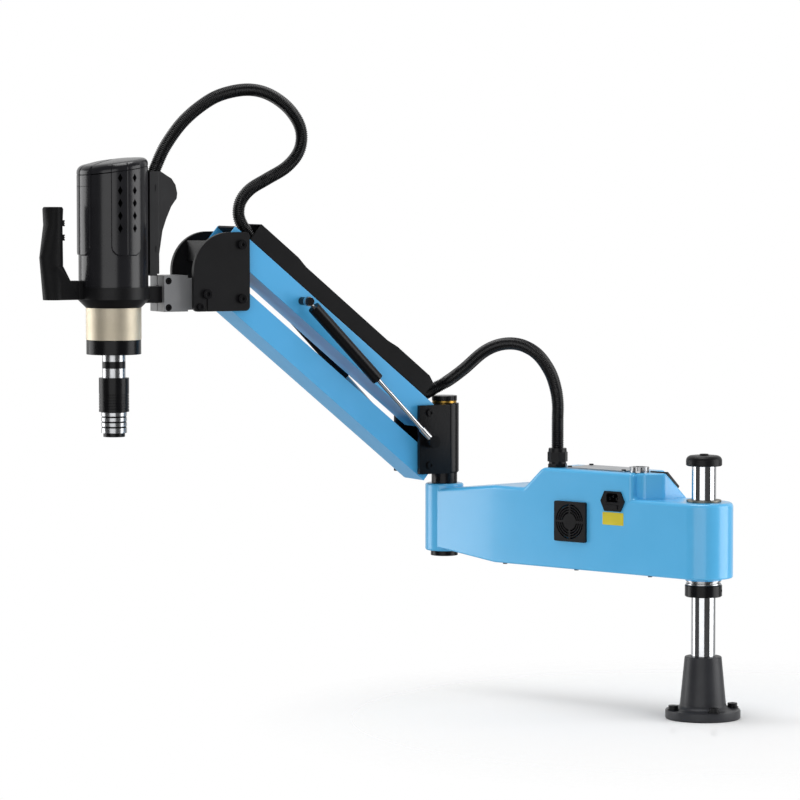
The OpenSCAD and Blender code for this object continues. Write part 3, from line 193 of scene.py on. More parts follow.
def moulded(name, dark, light, roughness, grain_mm, grain_depth, shine=0.45):
    """Moulded plastic: the spark-eroded grain of its tool."""
    material, tree, shader = finish(name, **{"IOR": 1.46, "Specular IOR Level": shine})
    cloud = noise(tree, PLASTIC_CLOUD, 2)
    tree.links.new(tint(tree, cloud.outputs["Fac"], dark, light), shader.inputs["Base Color"])
    grain = noise(tree, grain_mm, 4)
    gloss = spread(tree, grain.outputs["Fac"], roughness * 0.85, roughness * 1.15)
    tree.links.new(gloss, shader.inputs["Roughness"])
    bump(tree, shader, grain.outputs["Fac"], grain_depth)
    return material


# Stoved enamel on a fettled casting and on folded steel: smooth, glossy, a faint peel
blue_enamel = painted("stoved_blue_enamel", "#50afe2", "#54b2e5", 0.30, 7.0, 0.03, coat=0.4,
                      coat_roughness=0.12)
link_enamel = painted("stoved_blue_enamel_on_sheet", "#48a6dc", "#4ca9e0", 0.34, 9.0, 0.01, coat=0.15,
                      coat_roughness=0.1)
# Satin black powder coat: a fine even texture
powder_coat = painted("black_powder_coat", "#0e0e10", "#131315", 0.40, 1.6, 0.05, shine=0.22)
# Blackened (oxide) machined steel: smoother, with an oily sheen
black_oxide = painted("black_oxide_steel", "#0b0b0d", "#101012", 0.26, 0.8, 0.02, shine=0.2)
# Dark grey machine paint over cast iron: the sand of the casting shows through
iron_paint = painted("painted_cast_iron", "#212226", "#2a2b2f", 0.40, 2.2, 0.12, shine=0.35)
# Grey aluminium of the tilt block: bead-blasted, even
grey_block = painted("blasted_grey_aluminium", "#6f7072", "#7b7c7e", 0.38, 1.0, 0.04)
# Ground and hard-chromed bar: mirror bright, faint grinding round the bar
chrome = machined("ground_hard_chrome", "#c3c5c8", "#d2d4d6", 0.09, 0.5, 0.002, (1, 1, 14))
# Turned steel of the spindle and adapter: fine rings round the axis
turned_steel = machined("turned_steel", "#a5a6a8", "#bcbdbf", 0.24, 0.8, 0.01, (1, 1, 10))
# Champagne anodised aluminium: turned rings under a satin dye
champagne = machined("champagne_anodised_aluminium", "#d5cbb6", "#ded4c0", 0.55, 0.9, 0.008, (1, 1, 9))
# Oiled sintered bush, dull and greyish
bush_metal = machined("oiled_sintered_bush", "#77746a", "#858278", 0.42, 0.9, 0.01, (1, 1, 8))
# Bronze of bushes and the thrust washer
bronze = machined("turned_bearing_bronze", "#9c7a35", "#b59148", 0.30, 0.9, 0.008, (1, 1, 8))
# Brushed aluminium sheet of the cover plate: lines along the plate
brushed_sheet = machined("brushed_aluminium_sheet", "#9fa2a5", "#b3b6b9", 0.34, 0.6, 0.01, (1, 12, 1))
# Moulded ABS of the guard, inlet, gland, panel and buttons: satin with a fine grain
moulded_abs = moulded("grained_black_abs", "#0e0e10", "#131315", 0.33, 0.9, 0.02, shine=0.25)
# Polished ABS of the motor cover; the walls of its vents get a near-black painted shade, standing in for the dark
# where little light gets in
cover_abs = moulded("polished_black_abs", "#19191c", "#1e1e21", 0.22, 0.9, 0.004)
vent_painted_shade = moulded("painted_shade_vent_wall", "#020203", "#030304", 0.9, 0.9, 0.004, shine=0.02)
# Satin plastic sheet of the fin
satin_sheet = moulded("satin_black_sheet", "#1e1e20", "#252527", 0.5, 1.0, 0.02)
# Soft-touch grip, matt, with a coarser leather-like grain
grip_rubber = moulded("matt_grip_rubber", "#0a0a0c", "#0e0e10", 0.55, 1.8, 0.08, shine=0.2)
# Folded steel cable cover in fine-textured matt black
textured_black = painted("fine_texture_black_coat", "#0a0a0c", "#0e0e10", 0.55, 1.2, 0.08, shine=0.2)
# Corrugated nylon conduit: satin black
nylon = moulded("corrugated_black_nylon", "#08080a", "#0c0c0e", 0.26, 1.5, 0.02)
# Yellow vinyl plate, plain
vinyl = moulded("plain_yellow_vinyl", "#c6b61e", "#d2c22a", 0.35, 3.0, 0.01)
# Glass over the dark touch screen, with finger smears
screen_glass, glass_tree, glass_shader = finish("touch_screen_glass", **{
    "Base Color": linear("#2c3947"), "IOR": 1.52, "Coat Weight": 1.0, "Coat Roughness": 0.03})
glass_smear = noise(glass_tree, GLASS_SMEAR, 3)
glass_gloss = spread(glass_tree, glass_smear.outputs["Fac"], 0.05, 0.12)
glass_tree.links.new(glass_gloss, glass_shader.inputs["Roughness"])

# Each node's finish, for the nodes drawn again too
FINISH = {
    "column_base": iron_paint, "base_bolts": black_oxide, "column": chrome, "column_cap": powder_coat,
    "stop_collar": black_oxide, "collar_screw": black_oxide, "thrust_bearing": turned_steel,
    "arm_housing": blue_enamel, "column_bushes": bush_metal, "top_cover": brushed_sheet,
    "bottom_cover": powder_coat, "cover_screws": black_oxide, "control_panel": moulded_abs,
    "touch_screen": screen_glass, "signal_socket": turned_steel, "fan_guard": moulded_abs,
    "fan_frame": moulded_abs, "fan_impeller": moulded_abs, "power_inlet": moulded_abs,
    "fuse_drawer": moulded_abs, "blank_label": vinyl, "cable_gland": moulded_abs,
    "servo_drive": powder_coat, "power_supply": brushed_sheet, "elbow_pin": black_oxide,
    "brass_washer": bronze, "elbow_nut": black_oxide, "elbow_block": black_oxide, "elbow_bushes": bronze,
    "rear_pivot_pins": black_oxide, "upper_link": link_enamel, "upper_bushes": bronze,
    "cable_cover": textured_black, "link_studs": black_oxide, "lower_link": link_enamel,
    "lower_bushes": bronze, "gas_cylinders": black_oxide, "gas_rods": chrome,
    "head_bracket_plates": powder_coat, "bracket_spacer": powder_coat, "front_pivot_pins": black_oxide,
    "tilt_bolts": black_oxide, "tilt_block": grey_block, "clamp_screws": black_oxide,
    "head_frame": powder_coat, "motor": powder_coat, "motor_cover": cover_abs, "cable_fin": satin_sheet,
    "gearbox_ring": champagne, "lower_ring": black_oxide, "spindle_bearings": turned_steel,
    "spindle": turned_steel, "chuck_sleeve": black_oxide, "tap_adapter": turned_steel,
    "handle_arm": powder_coat, "handle_grip": grip_rubber, "button_upper": moulded_abs,
    "button_lower": moulded_abs, "arm_conduit": nylon, "head_conduit": nylon,
}
SLOT_OF = {part["node"]: part["material_slot"] for part in frame["record"]["subparts"]}


# Pieces: mesh work in millimetres, then one call that places, finishes and hangs the piece
def object_of(mesh, name):
    """A new object of the bmesh, which is used up."""
    data = bpy.data.meshes.new(name)
    mesh.to_mesh(data)
    mesh.free()
    made = bpy.data.objects.new(name, data)
    bpy.context.scene.collection.objects.link(made)
    return made


def piece(name, mesh, place, material, body, replaces=(), slot=None, weighted=True, sharp=35):
    """Makes the object of a bmesh; place brings it to metres in the row frame."""
    bmesh.ops.transform(mesh, matrix=place, verts=mesh.verts)
    if place.to_3x3().determinant() < 0:
        bmesh.ops.reverse_faces(mesh, faces=mesh.faces)
    for face in mesh.faces:
        face.smooth = True
    for edge in mesh.edges:
        edge.smooth = len(edge.link_faces) == 2 and edge.calc_face_angle(pi) < radians(sharp)
    made = object_of(mesh, name)
    made.data.materials.append(material)
    if weighted:
        flats = made.modifiers.new("flat faces stay flat", "WEIGHTED_NORMAL")
        flats.keep_sharp = True
    if body:
        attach(made, body)
    if replaces:
        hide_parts(*replaces)
        slot = slot or SLOT_OF[replaces[0]]
    return made


# The angle between faces, in degrees, from which an edge of a CAD node is hard
HARD_EDGE = 28


def sharp_edges(mesh, angle, keep=None):
    """Edges where two faces meet at more than the angle, in degrees."""
    return [e for e in mesh.edges if len(e.link_faces) == 2 and e.calc_face_angle(0) > radians(angle)
            and (keep is None or keep(e))]


def soften(mesh, edges, width, segments):
    bmesh.ops.bevel(mesh, geom=edges, offset=width, offset_type="OFFSET", affect="EDGES", segments=segments,
                    profile=0.5, material=-1, clamp_overlap=True)


def merged_copy(node):
    """The CAD node's mesh with its loose triangles merged into flat faces, in metres."""
    mesh = bmesh.new()
    mesh.from_mesh(frame["nodes"][node].data)
    bmesh.ops.remove_doubles(mesh, verts=mesh.verts, dist=1e-6)
    bmesh.ops.dissolve_limit(mesh, angle_limit=radians(0.4), verts=mesh.verts, edges=mesh.edges)
    return mesh


def softened_copy(node, width):
    """The CAD node's mesh, with its hard edges broken by a bevel of the given width in millimetres."""
    mesh = merged_copy(node)
    soften(mesh, sharp_edges(mesh, HARD_EDGE), width * MM, 2)
    return mesh


def finished_node(node, mesh):
    """The piece of a mesh made from a CAD node, which already stands in metres in the row frame."""
    return piece(node + "_finished", mesh, Matrix.Identity(4), FINISH[node], BODY_OF[node], [node])


# Nodes whose shape is right: the edge that each one's making leaves, in millimetres
EDGE_WIDTH = {
    "base_bolts": 0.5, "column": 0.4, "column_cap": 0.8, "stop_collar": 0.6,
    "collar_screw": 0.3, "column_bushes": 0.6, "top_cover": 0.4, "bottom_cover": 0.4, "cover_screws": 0.25,
    "control_panel": 0.8, "touch_screen": 0.15, "signal_socket": 0.25, "fan_guard": 0.4, "fan_frame": 0.3,
    "power_inlet": 0.35, "fuse_drawer": 0.3, "blank_label": 0.1, "cable_gland": 0.5, "elbow_pin": 0.7,
    "brass_washer": 0.4, "elbow_nut": 0.2, "elbow_block": 1.5, "rear_pivot_pins": 0.5, "upper_link": 1.6,
    "cable_cover": 0.9, "link_studs": 0.4, "lower_link": 1.6,
    "head_bracket_plates": 0.8, "bracket_spacer": 0.6, "front_pivot_pins": 0.5, "tilt_bolts": 0.5,
    "tilt_block": 1.0, "clamp_screws": 0.3, "head_frame": 0.8, "cable_fin": 2.2,
    "gearbox_ring": 0.5, "lower_ring": 0.6, "chuck_sleeve": 0.3,
    "handle_arm": 2.0, "handle_grip": 0.6,
}


# Shapes for pieces drawn again, and exact unions and cuts of them
def outline_mesh(points, low, high, along):
    """A prism of an outline; its points are (x, y) along Z, (x, z) along Y and (y, z) along X."""
    mesh = bmesh.new()
    spots = [{"Z": (a, b, low), "Y": (a, low, b), "X": (low, a, b)}[along] for a, b in points]
    verts = [mesh.verts.new(spot) for spot in spots]
    rim = [mesh.edges.new((verts[k - 1], verts[k])) for k in range(len(verts))]
    face = bmesh.ops.contextual_create(mesh, geom=rim)["faces"]
    grown = bmesh.ops.extrude_face_region(mesh, geom=face)["geom"]
    shift = {"Z": (0, 0, high - low), "Y": (0, high - low, 0), "X": (high - low, 0, 0)}[along]
    bmesh.ops.translate(mesh, vec=shift, verts=[v for v in grown if isinstance(v, bmesh.types.BMVert)])
    bmesh.ops.recalc_face_normals(mesh, faces=mesh.faces)
    return mesh


def brick(x, y, z):
    """A block between two values of x, of y and of z."""
    return outline_mesh([(x[0], y[0]), (x[1], y[0]), (x[1], y[1]), (x[0], y[1])], z[0], z[1], "Z")


ROUND_SIDES = 96


def rod(x, y, radius, low, high, axis="Z"):
    """A round rod from low to high along Z at (x, y), or along Y at (x, z)."""
    mesh = bmesh.new()
    bmesh.ops.create_cone(mesh, cap_ends=True, segments=ROUND_SIDES, radius1=radius, radius2=radius,
                          depth=high - low)
    bmesh.ops.translate(mesh, vec=(0, 0, (high + low) / 2), verts=mesh.verts)
    if axis == "Y":
        bmesh.ops.rotate(mesh, cent=(0, 0, 0), matrix=Matrix.Rotation(-pi / 2, 3, "X"), verts=mesh.verts)
        bmesh.ops.translate(mesh, vec=(x, 0, y), verts=mesh.verts)
    else:
        bmesh.ops.translate(mesh, vec=(x, y, 0), verts=mesh.verts)
    return mesh


def lathe(profile):
    """A turned piece: the outline of (radius, height) points, closed, spun round Z."""
    mesh = bmesh.new()
    verts = [mesh.verts.new((max(r, 0.001), 0, z)) for r, z in profile]
    rim = [mesh.edges.new((verts[k - 1], verts[k])) for k in range(len(verts))]
    bmesh.ops.spin(mesh, geom=verts + rim, cent=(0, 0, 0), axis=(0, 0, 1), angle=2 * pi, steps=ROUND_SIDES)
    bmesh.ops.remove_doubles(mesh, verts=mesh.verts, dist=0.01)
    bmesh.ops.recalc_face_normals(mesh, faces=mesh.faces)
    return mesh


def combined(mesh, *steps):
    """The mesh after each (operation, other mesh) in turn."""
    base = object_of(mesh, "shape")
    tools = []
    for operation, other in steps:
        tools.append(object_of(other, "shape"))
        step = base.modifiers.new(operation, "BOOLEAN")
        step.operation = operation
        step.object = tools[-1]
        step.solver = "EXACT"
    bpy.context.view_layer.update()
    done = base.evaluated_get(bpy.context.evaluated_depsgraph_get())
    result = bmesh.new()
    result.from_mesh(done.to_mesh())
    done.to_mesh_clear()
    for used in [base, *tools]:
        data = used.data
        bpy.data.objects.remove(used)
        bpy.data.meshes.remove(data)
    bmesh.ops.remove_doubles(result, verts=result.verts, dist=0.001)
    bmesh.ops.dissolve_limit(result, angle_limit=radians(0.3), verts=result.verts, edges=result.edges)
    return result


def second_finish(made, material, place, test):
    """Gives the faces whose middle, in the place's own frame, passes the test another finish."""
    made.data.materials.append(material)
    back = place.inverted()
    for face in made.data.polygons:
        if test(back @ face.center):
            face.material_index = 1


# First arm's casting in its own frame: X from the column to the elbow, Y across, Z up from the underside
CAST_HALF = 48
CAST_WALL = 6
TAPER_AT = 410
NECK_HALF = 29.5
NECK_RISE = 15
NECK_TOP = 114.5
BOSS_TOP = 124
DECK_TOP = 131
BOX_NEAR = 113
BOX_FAR = 305
BOX_FOOT = 345
BOX_TOP = 167
# The wedge with the sloped face for the panel, as (x, y) from above and as (y, z) from its end
WEDGE_PLAN = [(118, 34), (98, 34), (74, 10), (71, -47.5), (118, -47.5)]
WEDGE_FACE = [(60, 0), (60, 166.8), (4, 166.8), (-60, 114.3), (-60, 0)]
# Round shapes as x, y, radius, low and high; the fan's hole runs along Y and stands at (x, z)
ELBOW_BOSS = (ARM1_LEN, 0, 33, 7.5, BOSS_TOP)
BEARING_LIP = (0, 0, 30, -4, 2)
COLUMN_BORE = (0, 0, 24, -9, 180)
ELBOW_BORE = (ARM1_LEN, 0, 15, -9, 180)
GLAND_HOLE = (289, 25, CONDUIT_D / 2, 150, 180)
SOCKET_HOLE = (121, 17, 5.3, 150, 180)
FAN_HOLE = (240, 80, 29, 36, 60, "Y")
# Square openings into the hollow, as spans of x, y and z
BOTTOM_OPENING = ((80, 392), (-30, 30), (-1, 12))
BOTTOM_SEAT = ((68, 404), (-42, 42), (-1, 3))
TOP_OPENING = ((149, 255), (-24, 24), (155, 170))
INLET_OPENING = ((132, 170), (36, 60), (105.5, 132.5))
# Where the hollow begins beside the column's tube and ends before the elbow boss
HOLLOW_NEAR = 62
HOLLOW_FAR = 536.3
HOLLOW_FAR_HALF = 26.8
HOLLOW_FLOOR = 3.001
# How far edges are rounded: the casting's wholly above and wholly below a height, the wedge's, the boss's
ROUND_SPLIT = 20
TOP_ROUND = 7
UNDERSIDE_ROUND = 3
WEDGE_ROUND = 4.5
BOSS_ROUND = 3.5
# Where the prisms that are crossed with one another end, clear of the casting
BEHIND = -60
BELOW = -10
ABOVE = 200
BESIDE = 70
WEDGE_FROM_Z = 60
WEDGE_TO_X = 150

plan = [(CAST_HALF * cos(radians(a)), CAST_HALF * sin(radians(a))) for a in range(90, 271, 6)]
plan += [(TAPER_AT, -CAST_HALF), (ARM1_LEN, -NECK_HALF), (ARM1_LEN, NECK_HALF), (TAPER_AT, CAST_HALF)]
side = [(BEHIND, 0), (TAPER_AT, 0), (ARM1_LEN, NECK_RISE), (ARM1_LEN, NECK_TOP), (TAPER_AT, DECK_TOP),
        (BOX_FOOT, DECK_TOP), (BOX_FAR, BOX_TOP), (BOX_NEAR, BOX_TOP), (BOX_NEAR, BOSS_TOP),
        (BEHIND, BOSS_TOP)]
casting = combined(outline_mesh(plan, BELOW, ABOVE, "Z"),
                   ("INTERSECT", outline_mesh(side, -BESIDE, BESIDE, "Y")))
top_edges = sharp_edges(casting, 20, lambda e: min(v.co.z for v in e.verts) > ROUND_SPLIT)
soften(casting, top_edges, TOP_ROUND, 4)
underside_edges = sharp_edges(casting, 40, lambda e: max(v.co.z for v in e.verts) < ROUND_SPLIT)
soften(casting, underside_edges, UNDERSIDE_ROUND, 3)
wedge = combined(outline_mesh(WEDGE_PLAN, WEDGE_FROM_Z, ABOVE, "Z"),
                 ("INTERSECT", outline_mesh(WEDGE_FACE, 0, WEDGE_TO_X, "X")))
soften(wedge, sharp_edges(wedge, 15), WEDGE_ROUND, 4)
boss = rod(*ELBOW_BOSS)
soften(boss, sharp_edges(boss, 40), BOSS_ROUND, 4)

inner_half = CAST_HALF - CAST_WALL
inner_plan = [(HOLLOW_NEAR, inner_half), (TAPER_AT, inner_half), (HOLLOW_FAR, HOLLOW_FAR_HALF),
              (HOLLOW_FAR, -HOLLOW_FAR_HALF), (TAPER_AT, -inner_half), (HOLLOW_NEAR, -inner_half)]
inner_side = [(0, CAST_WALL), (TAPER_AT, CAST_WALL), (ARM1_LEN, NECK_RISE + CAST_WALL),
              (ARM1_LEN, NECK_TOP - CAST_WALL), (TAPER_AT, DECK_TOP - CAST_WALL),
              (BOX_FOOT + CAST_WALL, DECK_TOP - CAST_WALL), (BOX_FAR + CAST_WALL / 2, BOX_TOP - CAST_WALL),
              (BOX_NEAR + CAST_WALL, BOX_TOP - CAST_WALL), (BOX_NEAR + CAST_WALL, BOSS_TOP - CAST_WALL),
              (0, BOSS_TOP - CAST_WALL)]
hollow = combined(outline_mesh(inner_plan, HOLLOW_FLOOR, ABOVE, "Z"),
                  ("INTERSECT", outline_mesh(inner_side, -BESIDE, BESIDE, "Y")))
cutters = [hollow, brick(*BOTTOM_OPENING), brick(*BOTTOM_SEAT), brick(*TOP_OPENING), rod(*COLUMN_BORE),
           rod(*ELBOW_BORE), rod(*FAN_HOLE), brick(*INLET_OPENING), rod(*GLAND_HOLE), rod(*SOCKET_HOLE)]
casting = combined(casting, ("UNION", wedge), ("UNION", boss), ("UNION", rod(*BEARING_LIP)),
                   *[("DIFFERENCE", cutter) for cutter in cutters])
piece("arm_housing_finished", casting, ARM1, blue_enamel, "first_arm", ["arm_housing"])

# Base: the cone runs into the flange with a cast fillet; outlines as (radius, height)
FLANGE_R = 61.5
BASE_TOP = 102
BASE_BORE_R = 20.05
BASE_BORE_FLOOR = 8
FILLET_R = 11
FILLET_MIDDLE_R = 48.5
FILLET_MIDDLE_Z = 26
fillet = [(FILLET_MIDDLE_R - FILLET_R * sin(radians(a)), FILLET_MIDDLE_Z - FILLET_R * cos(radians(a)))
          for a in range(8, 85, 12)]
bore = [(0, BASE_BORE_FLOOR), (BASE_BORE_R, BASE_BORE_FLOOR), (BASE_BORE_R, BASE_TOP)]
top_rim = [(28, BASE_TOP), (29.6, 101.4), (30.4, 99.8)]
flange = [(59, 15), (60.7, 14.4), (FLANGE_R, 12.8), (FLANGE_R, 1.5), (60, 0), (0, 0)]
base = lathe(bore + top_rim + fillet[::-1] + flange)
piece("column_base_finished", base, ROW, iron_paint, "base", ["column_base"], sharp=30)


def banded_node(node, width, place, cuts, material, test):
    """A softened CAD node with a second finish between planes; cuts are heights along the place's Z."""
    mesh = softened_copy(node, width)
    level = place.to_3x3() @ Vector((0, 0, 1))
    for height in cuts:
        bmesh.ops.bisect_plane(mesh, geom=[*mesh.verts, *mesh.edges, *mesh.faces],
                               plane_co=place @ Vector((0, 0, height)), plane_no=level)
    second_finish(finished_node(node, mesh), material, place, test)


# The spindle's black band, and the black grooves and foot of the adapter inside its bright skin
BAND = (-23.3, -11.8)
ADAPTER_BELOW = -90
ADAPTER_BORE_R = 12
ADAPTER_SKIN_R = 21
# Along a gas spring from the stud on the link: the steel fitting's end, and where the black cup begins
FITTING_END = 13.9
CUP_AT = 341.15 - 10.6
spring_axis = Vector(JOINT["rod_slide"]["axis"])
spring_stud = Vector(JOINT["spring_pivot"]["pos_m"])


def along_spring(p):
    return (p * MM - spring_stud).dot(spring_axis) / MM


banded_node("spindle", 0.4, SPINDLE, BAND, black_oxide, lambda p: BAND[0] < p.z < BAND[1])
banded_node("tap_adapter", 0.3, SPINDLE, (), black_oxide,
            lambda p: p.z < ADAPTER_BELOW and ADAPTER_BORE_R < hypot(p.x, p.y) < ADAPTER_SKIN_R)
banded_node("gas_cylinders", 0.6, ROW, (), turned_steel, lambda p: along_spring(p) < FITTING_END)
banded_node("gas_rods", 0.4, ROW, (), black_oxide, lambda p: along_spring(p) > CUP_AT)


# Motor cover: a drawn shell with three raised panels, round feet, a soft rim and a sloped cap
COVER_R = 57.5
COVER_FOOT = 13
COVER_STRAIGHT_TO = 181
PANEL_HALF = 27
PANEL_FOOT = 65
PANEL_CORNER = 16
PANEL_RISE = 2.4
PANEL_LIP = 1.1
RIDGE_RISE = 0.8
CAP_HEIGHT = 219.7
CAP_SLOPE = 0.1405
# The cap's section, as the rise over its height and the inset from the cover's skin
CAP_SECTION = [
    (-34, 0), (-29, 0), (-24, 0), (-19, 0), (-15.5, 0), (-14.7, 1), (-13.9, 0), (-11, 0), (-8, 0.4),
    (-5, 1.8), (-2.6, 4), (-0.9, 7), (0, 11), (0.9, 18), (2.2, 30), (2.8, 44), (3, 56.9),
]
# Lozenge vents in two columns on each side, and the zone whose vent walls get the painted shade
VENT_OUTLINE = [(-4, 0), (0, 7.5), (4, 0), (0, -7.5)]
VENT_FROM = 51
VENT_TO = 70
VENT_LOW = 110
VENT_PITCH = 20.6
VENT_ROWS = 5
VENT_TURNS = (77.5, 102.5, 257.5, 282.5)
VENT_WALL_R = 57
VENT_SHADE_ZONE = (95, 205)


def cover_rise(angle, z):
    """How far the cover stands out of its plain cylinder, at an angle in degrees and a height."""
    for middle in (0, 90, 270):
        off = abs(radians((angle - middle + 180) % 360 - 180)) * COVER_R
        across, up = PANEL_HALF - off, z - PANEL_FOOT
        if across <= 0 or up <= 0:
            continue
        inside = min(across, up)
        if across < PANEL_CORNER and up < PANEL_CORNER:
            inside = PANEL_CORNER - hypot(PANEL_CORNER - across, PANEL_CORNER - up)
        return min(max(inside / PANEL_LIP, 0), 1) * PANEL_RISE + max(RIDGE_RISE - off, 0)
    return 0


def cover_ring(mesh, height, inset):
    """The edges of a closed ring round the shell; height(x) gives each point's height."""
    spots = []
    for angle in range(360):
        z = height((COVER_R - inset) * cos(radians(angle)))
        r = max(COVER_R + cover_rise(angle, z) - inset, 0.5)
        spots.append(mesh.verts.new((r * cos(radians(angle)), r * sin(radians(angle)), z)))
    return [mesh.edges.new((spots[k - 1], spots[k])) for k in range(len(spots))]


shell = bmesh.new()
rings = [cover_ring(shell, lambda x, z=z: z, 0) for z in range(COVER_FOOT, COVER_STRAIGHT_TO, 2)]
rings += [cover_ring(shell, lambda x, rise=rise: CAP_HEIGHT - CAP_SLOPE * x + rise, inset)
          for rise, inset in CAP_SECTION]
for low_ring, high_ring in zip(rings, rings[1:]):
    bmesh.ops.bridge_loops(shell, edges=low_ring + high_ring)
bmesh.ops.contextual_create(shell, geom=rings[0])
bmesh.ops.contextual_create(shell, geom=rings[-1])
bmesh.ops.recalc_face_normals(shell, faces=shell.faces)
vents = []
for turn in VENT_TURNS:
    for row in range(VENT_ROWS):
        vent = outline_mesh(VENT_OUTLINE, VENT_FROM, VENT_TO, "X")
        bmesh.ops.translate(vent, vec=(0, 0, VENT_LOW + VENT_PITCH * row), verts=vent.verts)
        bmesh.ops.rotate(vent, cent=(0, 0, 0), matrix=turned(turn, "Z").to_3x3(), verts=vent.verts)
        vents.append(("DIFFERENCE", vent))
cover = combined(shell, *vents)
cover = piece("motor_cover_finished", cover, HEAD, cover_abs, "head", ["motor_cover"], sharp=28)
# Painted shade: the faces inside the vents take a near-black material, which stands in for the dark inside them
second_finish(cover, vent_painted_shade, HEAD,
              lambda p: hypot(p.x, p.y) < VENT_WALL_R and VENT_SHADE_ZONE[0] < p.z < VENT_SHADE_ZONE[1])

# The fin's joint with the cover is a pressed strip with two slots, as spans of x, y and z
STRIP = ((-73, -56), (-23, 23), (34, 203))
STRIP_SLOTS = [((-67, -64.5), (-30, 30), (70, 80)), ((-67, -64.5), (-30, 30), (171, 181))]
STRIP_BORE_R = 58.4
STRIP_OUTSIDE = -70
strip = combined(brick(*STRIP), ("DIFFERENCE", rod(0, 0, STRIP_BORE_R, 0, 300)),
                 *[("DIFFERENCE", brick(*slot)) for slot in STRIP_SLOTS])
soften(strip, sharp_edges(strip, 40, lambda e: max(v.co.x for v in e.verts) < STRIP_OUTSIDE), 1.5, 3)
piece("fin_strip", strip, HEAD, satin_sheet, "head", slot="black_plastic")

# Push buttons of the handle: keys with two grooves across
KEY_HEIGHT = {"button_upper": 118.5, "button_lower": 95}
KEY_OUT = (88.6, 96.5)
KEY_ACROSS = (-6, 6)
KEY_HALF_HEIGHT = 5
GROOVE_OUT = (80, 89.6)
GROOVE_ACROSS = (-9, 9)
GROOVE_OFF = 1.7
GROOVE_HALF = 0.8
for button, height in KEY_HEIGHT.items():
    key = brick(KEY_OUT, KEY_ACROSS, (height - KEY_HALF_HEIGHT, height + KEY_HALF_HEIGHT))
    grooves = [brick(GROOVE_OUT, GROOVE_ACROSS, (middle - GROOVE_HALF, middle + GROOVE_HALF))
               for middle in (height - GROOVE_OFF, height + GROOVE_OFF)]
    key = combined(key, *[("DIFFERENCE", groove) for groove in grooves])
    soften(key, sharp_edges(key, 40), 0.4, 2)
    piece(button + "_finished", key, HEAD, moulded_abs, BODY_OF[button], [button])


# Conduits: rings of a ribbed tube along a smooth line through the route's points
CURVE_STEPS = 24
CONDUIT_SIDES = 28
# How far each ring of one rib stands out, as a share of the rib's depth
RIB_SHAPE = [1.0, 1.0, 0.35, 0.0, 0.35]


def smooth_line(points):
    """Points along the curve that passes through the route's points, as the frame's own routes do."""
    vectors = [Vector(p) for p in points]
    line = []
    for i in range(len(vectors) - 1):
        a, b = vectors[max(i - 1, 0)], vectors[i]
        c, d = vectors[i + 1], vectors[min(i + 2, len(vectors) - 1)]
        for k in range(CURVE_STEPS):
            t = k / CURVE_STEPS
            line.append(0.5 * (2 * b + (c - a) * t + (2 * a - 5 * b + 4 * c - d) * t ** 2
                               + (3 * b - a - 3 * c + d) * t ** 3))
    return line + [vectors[-1]]


def even_stations(line, spacing):
    """Points on the line at an even spacing near the one asked for, both ends kept."""
    lengths = [0.0]
    for a, b in zip(line, line[1:]):
        lengths.append(lengths[-1] + (b - a).length)
    count = max(2, round(lengths[-1] / spacing))
    stations = []
    i = 0
    for n in range(count + 1):
        at = lengths[-1] * n / count
        while i < len(line) - 2 and lengths[i + 1] < at:
            i += 1
        share = (at - lengths[i]) / (lengths[i + 1] - lengths[i])
        stations.append(line[i].lerp(line[i + 1], min(max(share, 0), 1)))
    return stations, lengths[-1]


def conduit_mesh(stations, first):
    """A ribbed tube whose rings stand on the stations; first is the number of rings before it."""
    mesh = bmesh.new()
    side = Vector((0, 0, 1)).cross(stations[1] - stations[0])
    if side.length < 1e-6:
        side = Vector((0, 1, 0))
    rim = []
    for i, centre in enumerate(stations):
        along = (stations[min(i + 1, len(stations) - 1)] - stations[max(i - 1, 0)]).normalized()
        side = (side - along * side.dot(along)).normalized()
        up = along.cross(side)
        r = CONDUIT_D / 2 - CONDUIT_RIB_DEPTH * (1 - RIB_SHAPE[(first + i) % len(RIB_SHAPE)])
        turns = [2 * pi * k / CONDUIT_SIDES for k in range(CONDUIT_SIDES)]
        spots = [centre + r * (cos(turn) * side + sin(turn) * up) for turn in turns]
        if not rim:
            rim = [mesh.verts.new(spot) for spot in spots]
            edges = [mesh.edges.new((rim[k], rim[(k + 1) % CONDUIT_SIDES])) for k in range(CONDUIT_SIDES)]
            continue
        grown = bmesh.ops.extrude_edge_only(mesh, edges=edges)["geom"]
        fresh = [v for v in grown if isinstance(v, bmesh.types.BMVert)]
        follow = {}
        for vert in fresh:
            for edge in vert.link_edges:
                other = edge.other_vert(vert)
                if other not in fresh:
                    follow[other] = vert
        rim = [follow[v] for v in rim]
        for vert, spot in zip(rim, spots):
            vert.co = spot
        edges = [e for e in grown if isinstance(e, bmesh.types.BMEdge)]
        edges = [e for e in edges if all(v in fresh for v in e.verts)]
    bmesh.ops.recalc_face_normals(mesh, faces=mesh.faces)
    return mesh


def conduit(node, line, cuts):
    """One conduit in as many lengths as it crosses joints."""
    stations, total = even_stations(line, CONDUIT_RIB / len(RIB_SHAPE))
    count = len(stations) - 1
    for n, (start_share, end_share, body_a, body_b) in enumerate(cuts):
        i, j = round(count * start_share), round(count * end_share)
        run = stations[i:j + 1]
        made = piece(f"{node}_{n + 1}", conduit_mesh(run, i), ROW, nylon, None, weighted=False, sharp=80)
        path = [tuple(p * MM) for p in run[::len(RIB_SHAPE)]]
        if path[-1] != tuple(run[-1] * MM):
            path.append(tuple(run[-1] * MM))
        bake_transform(made)
        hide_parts(node)


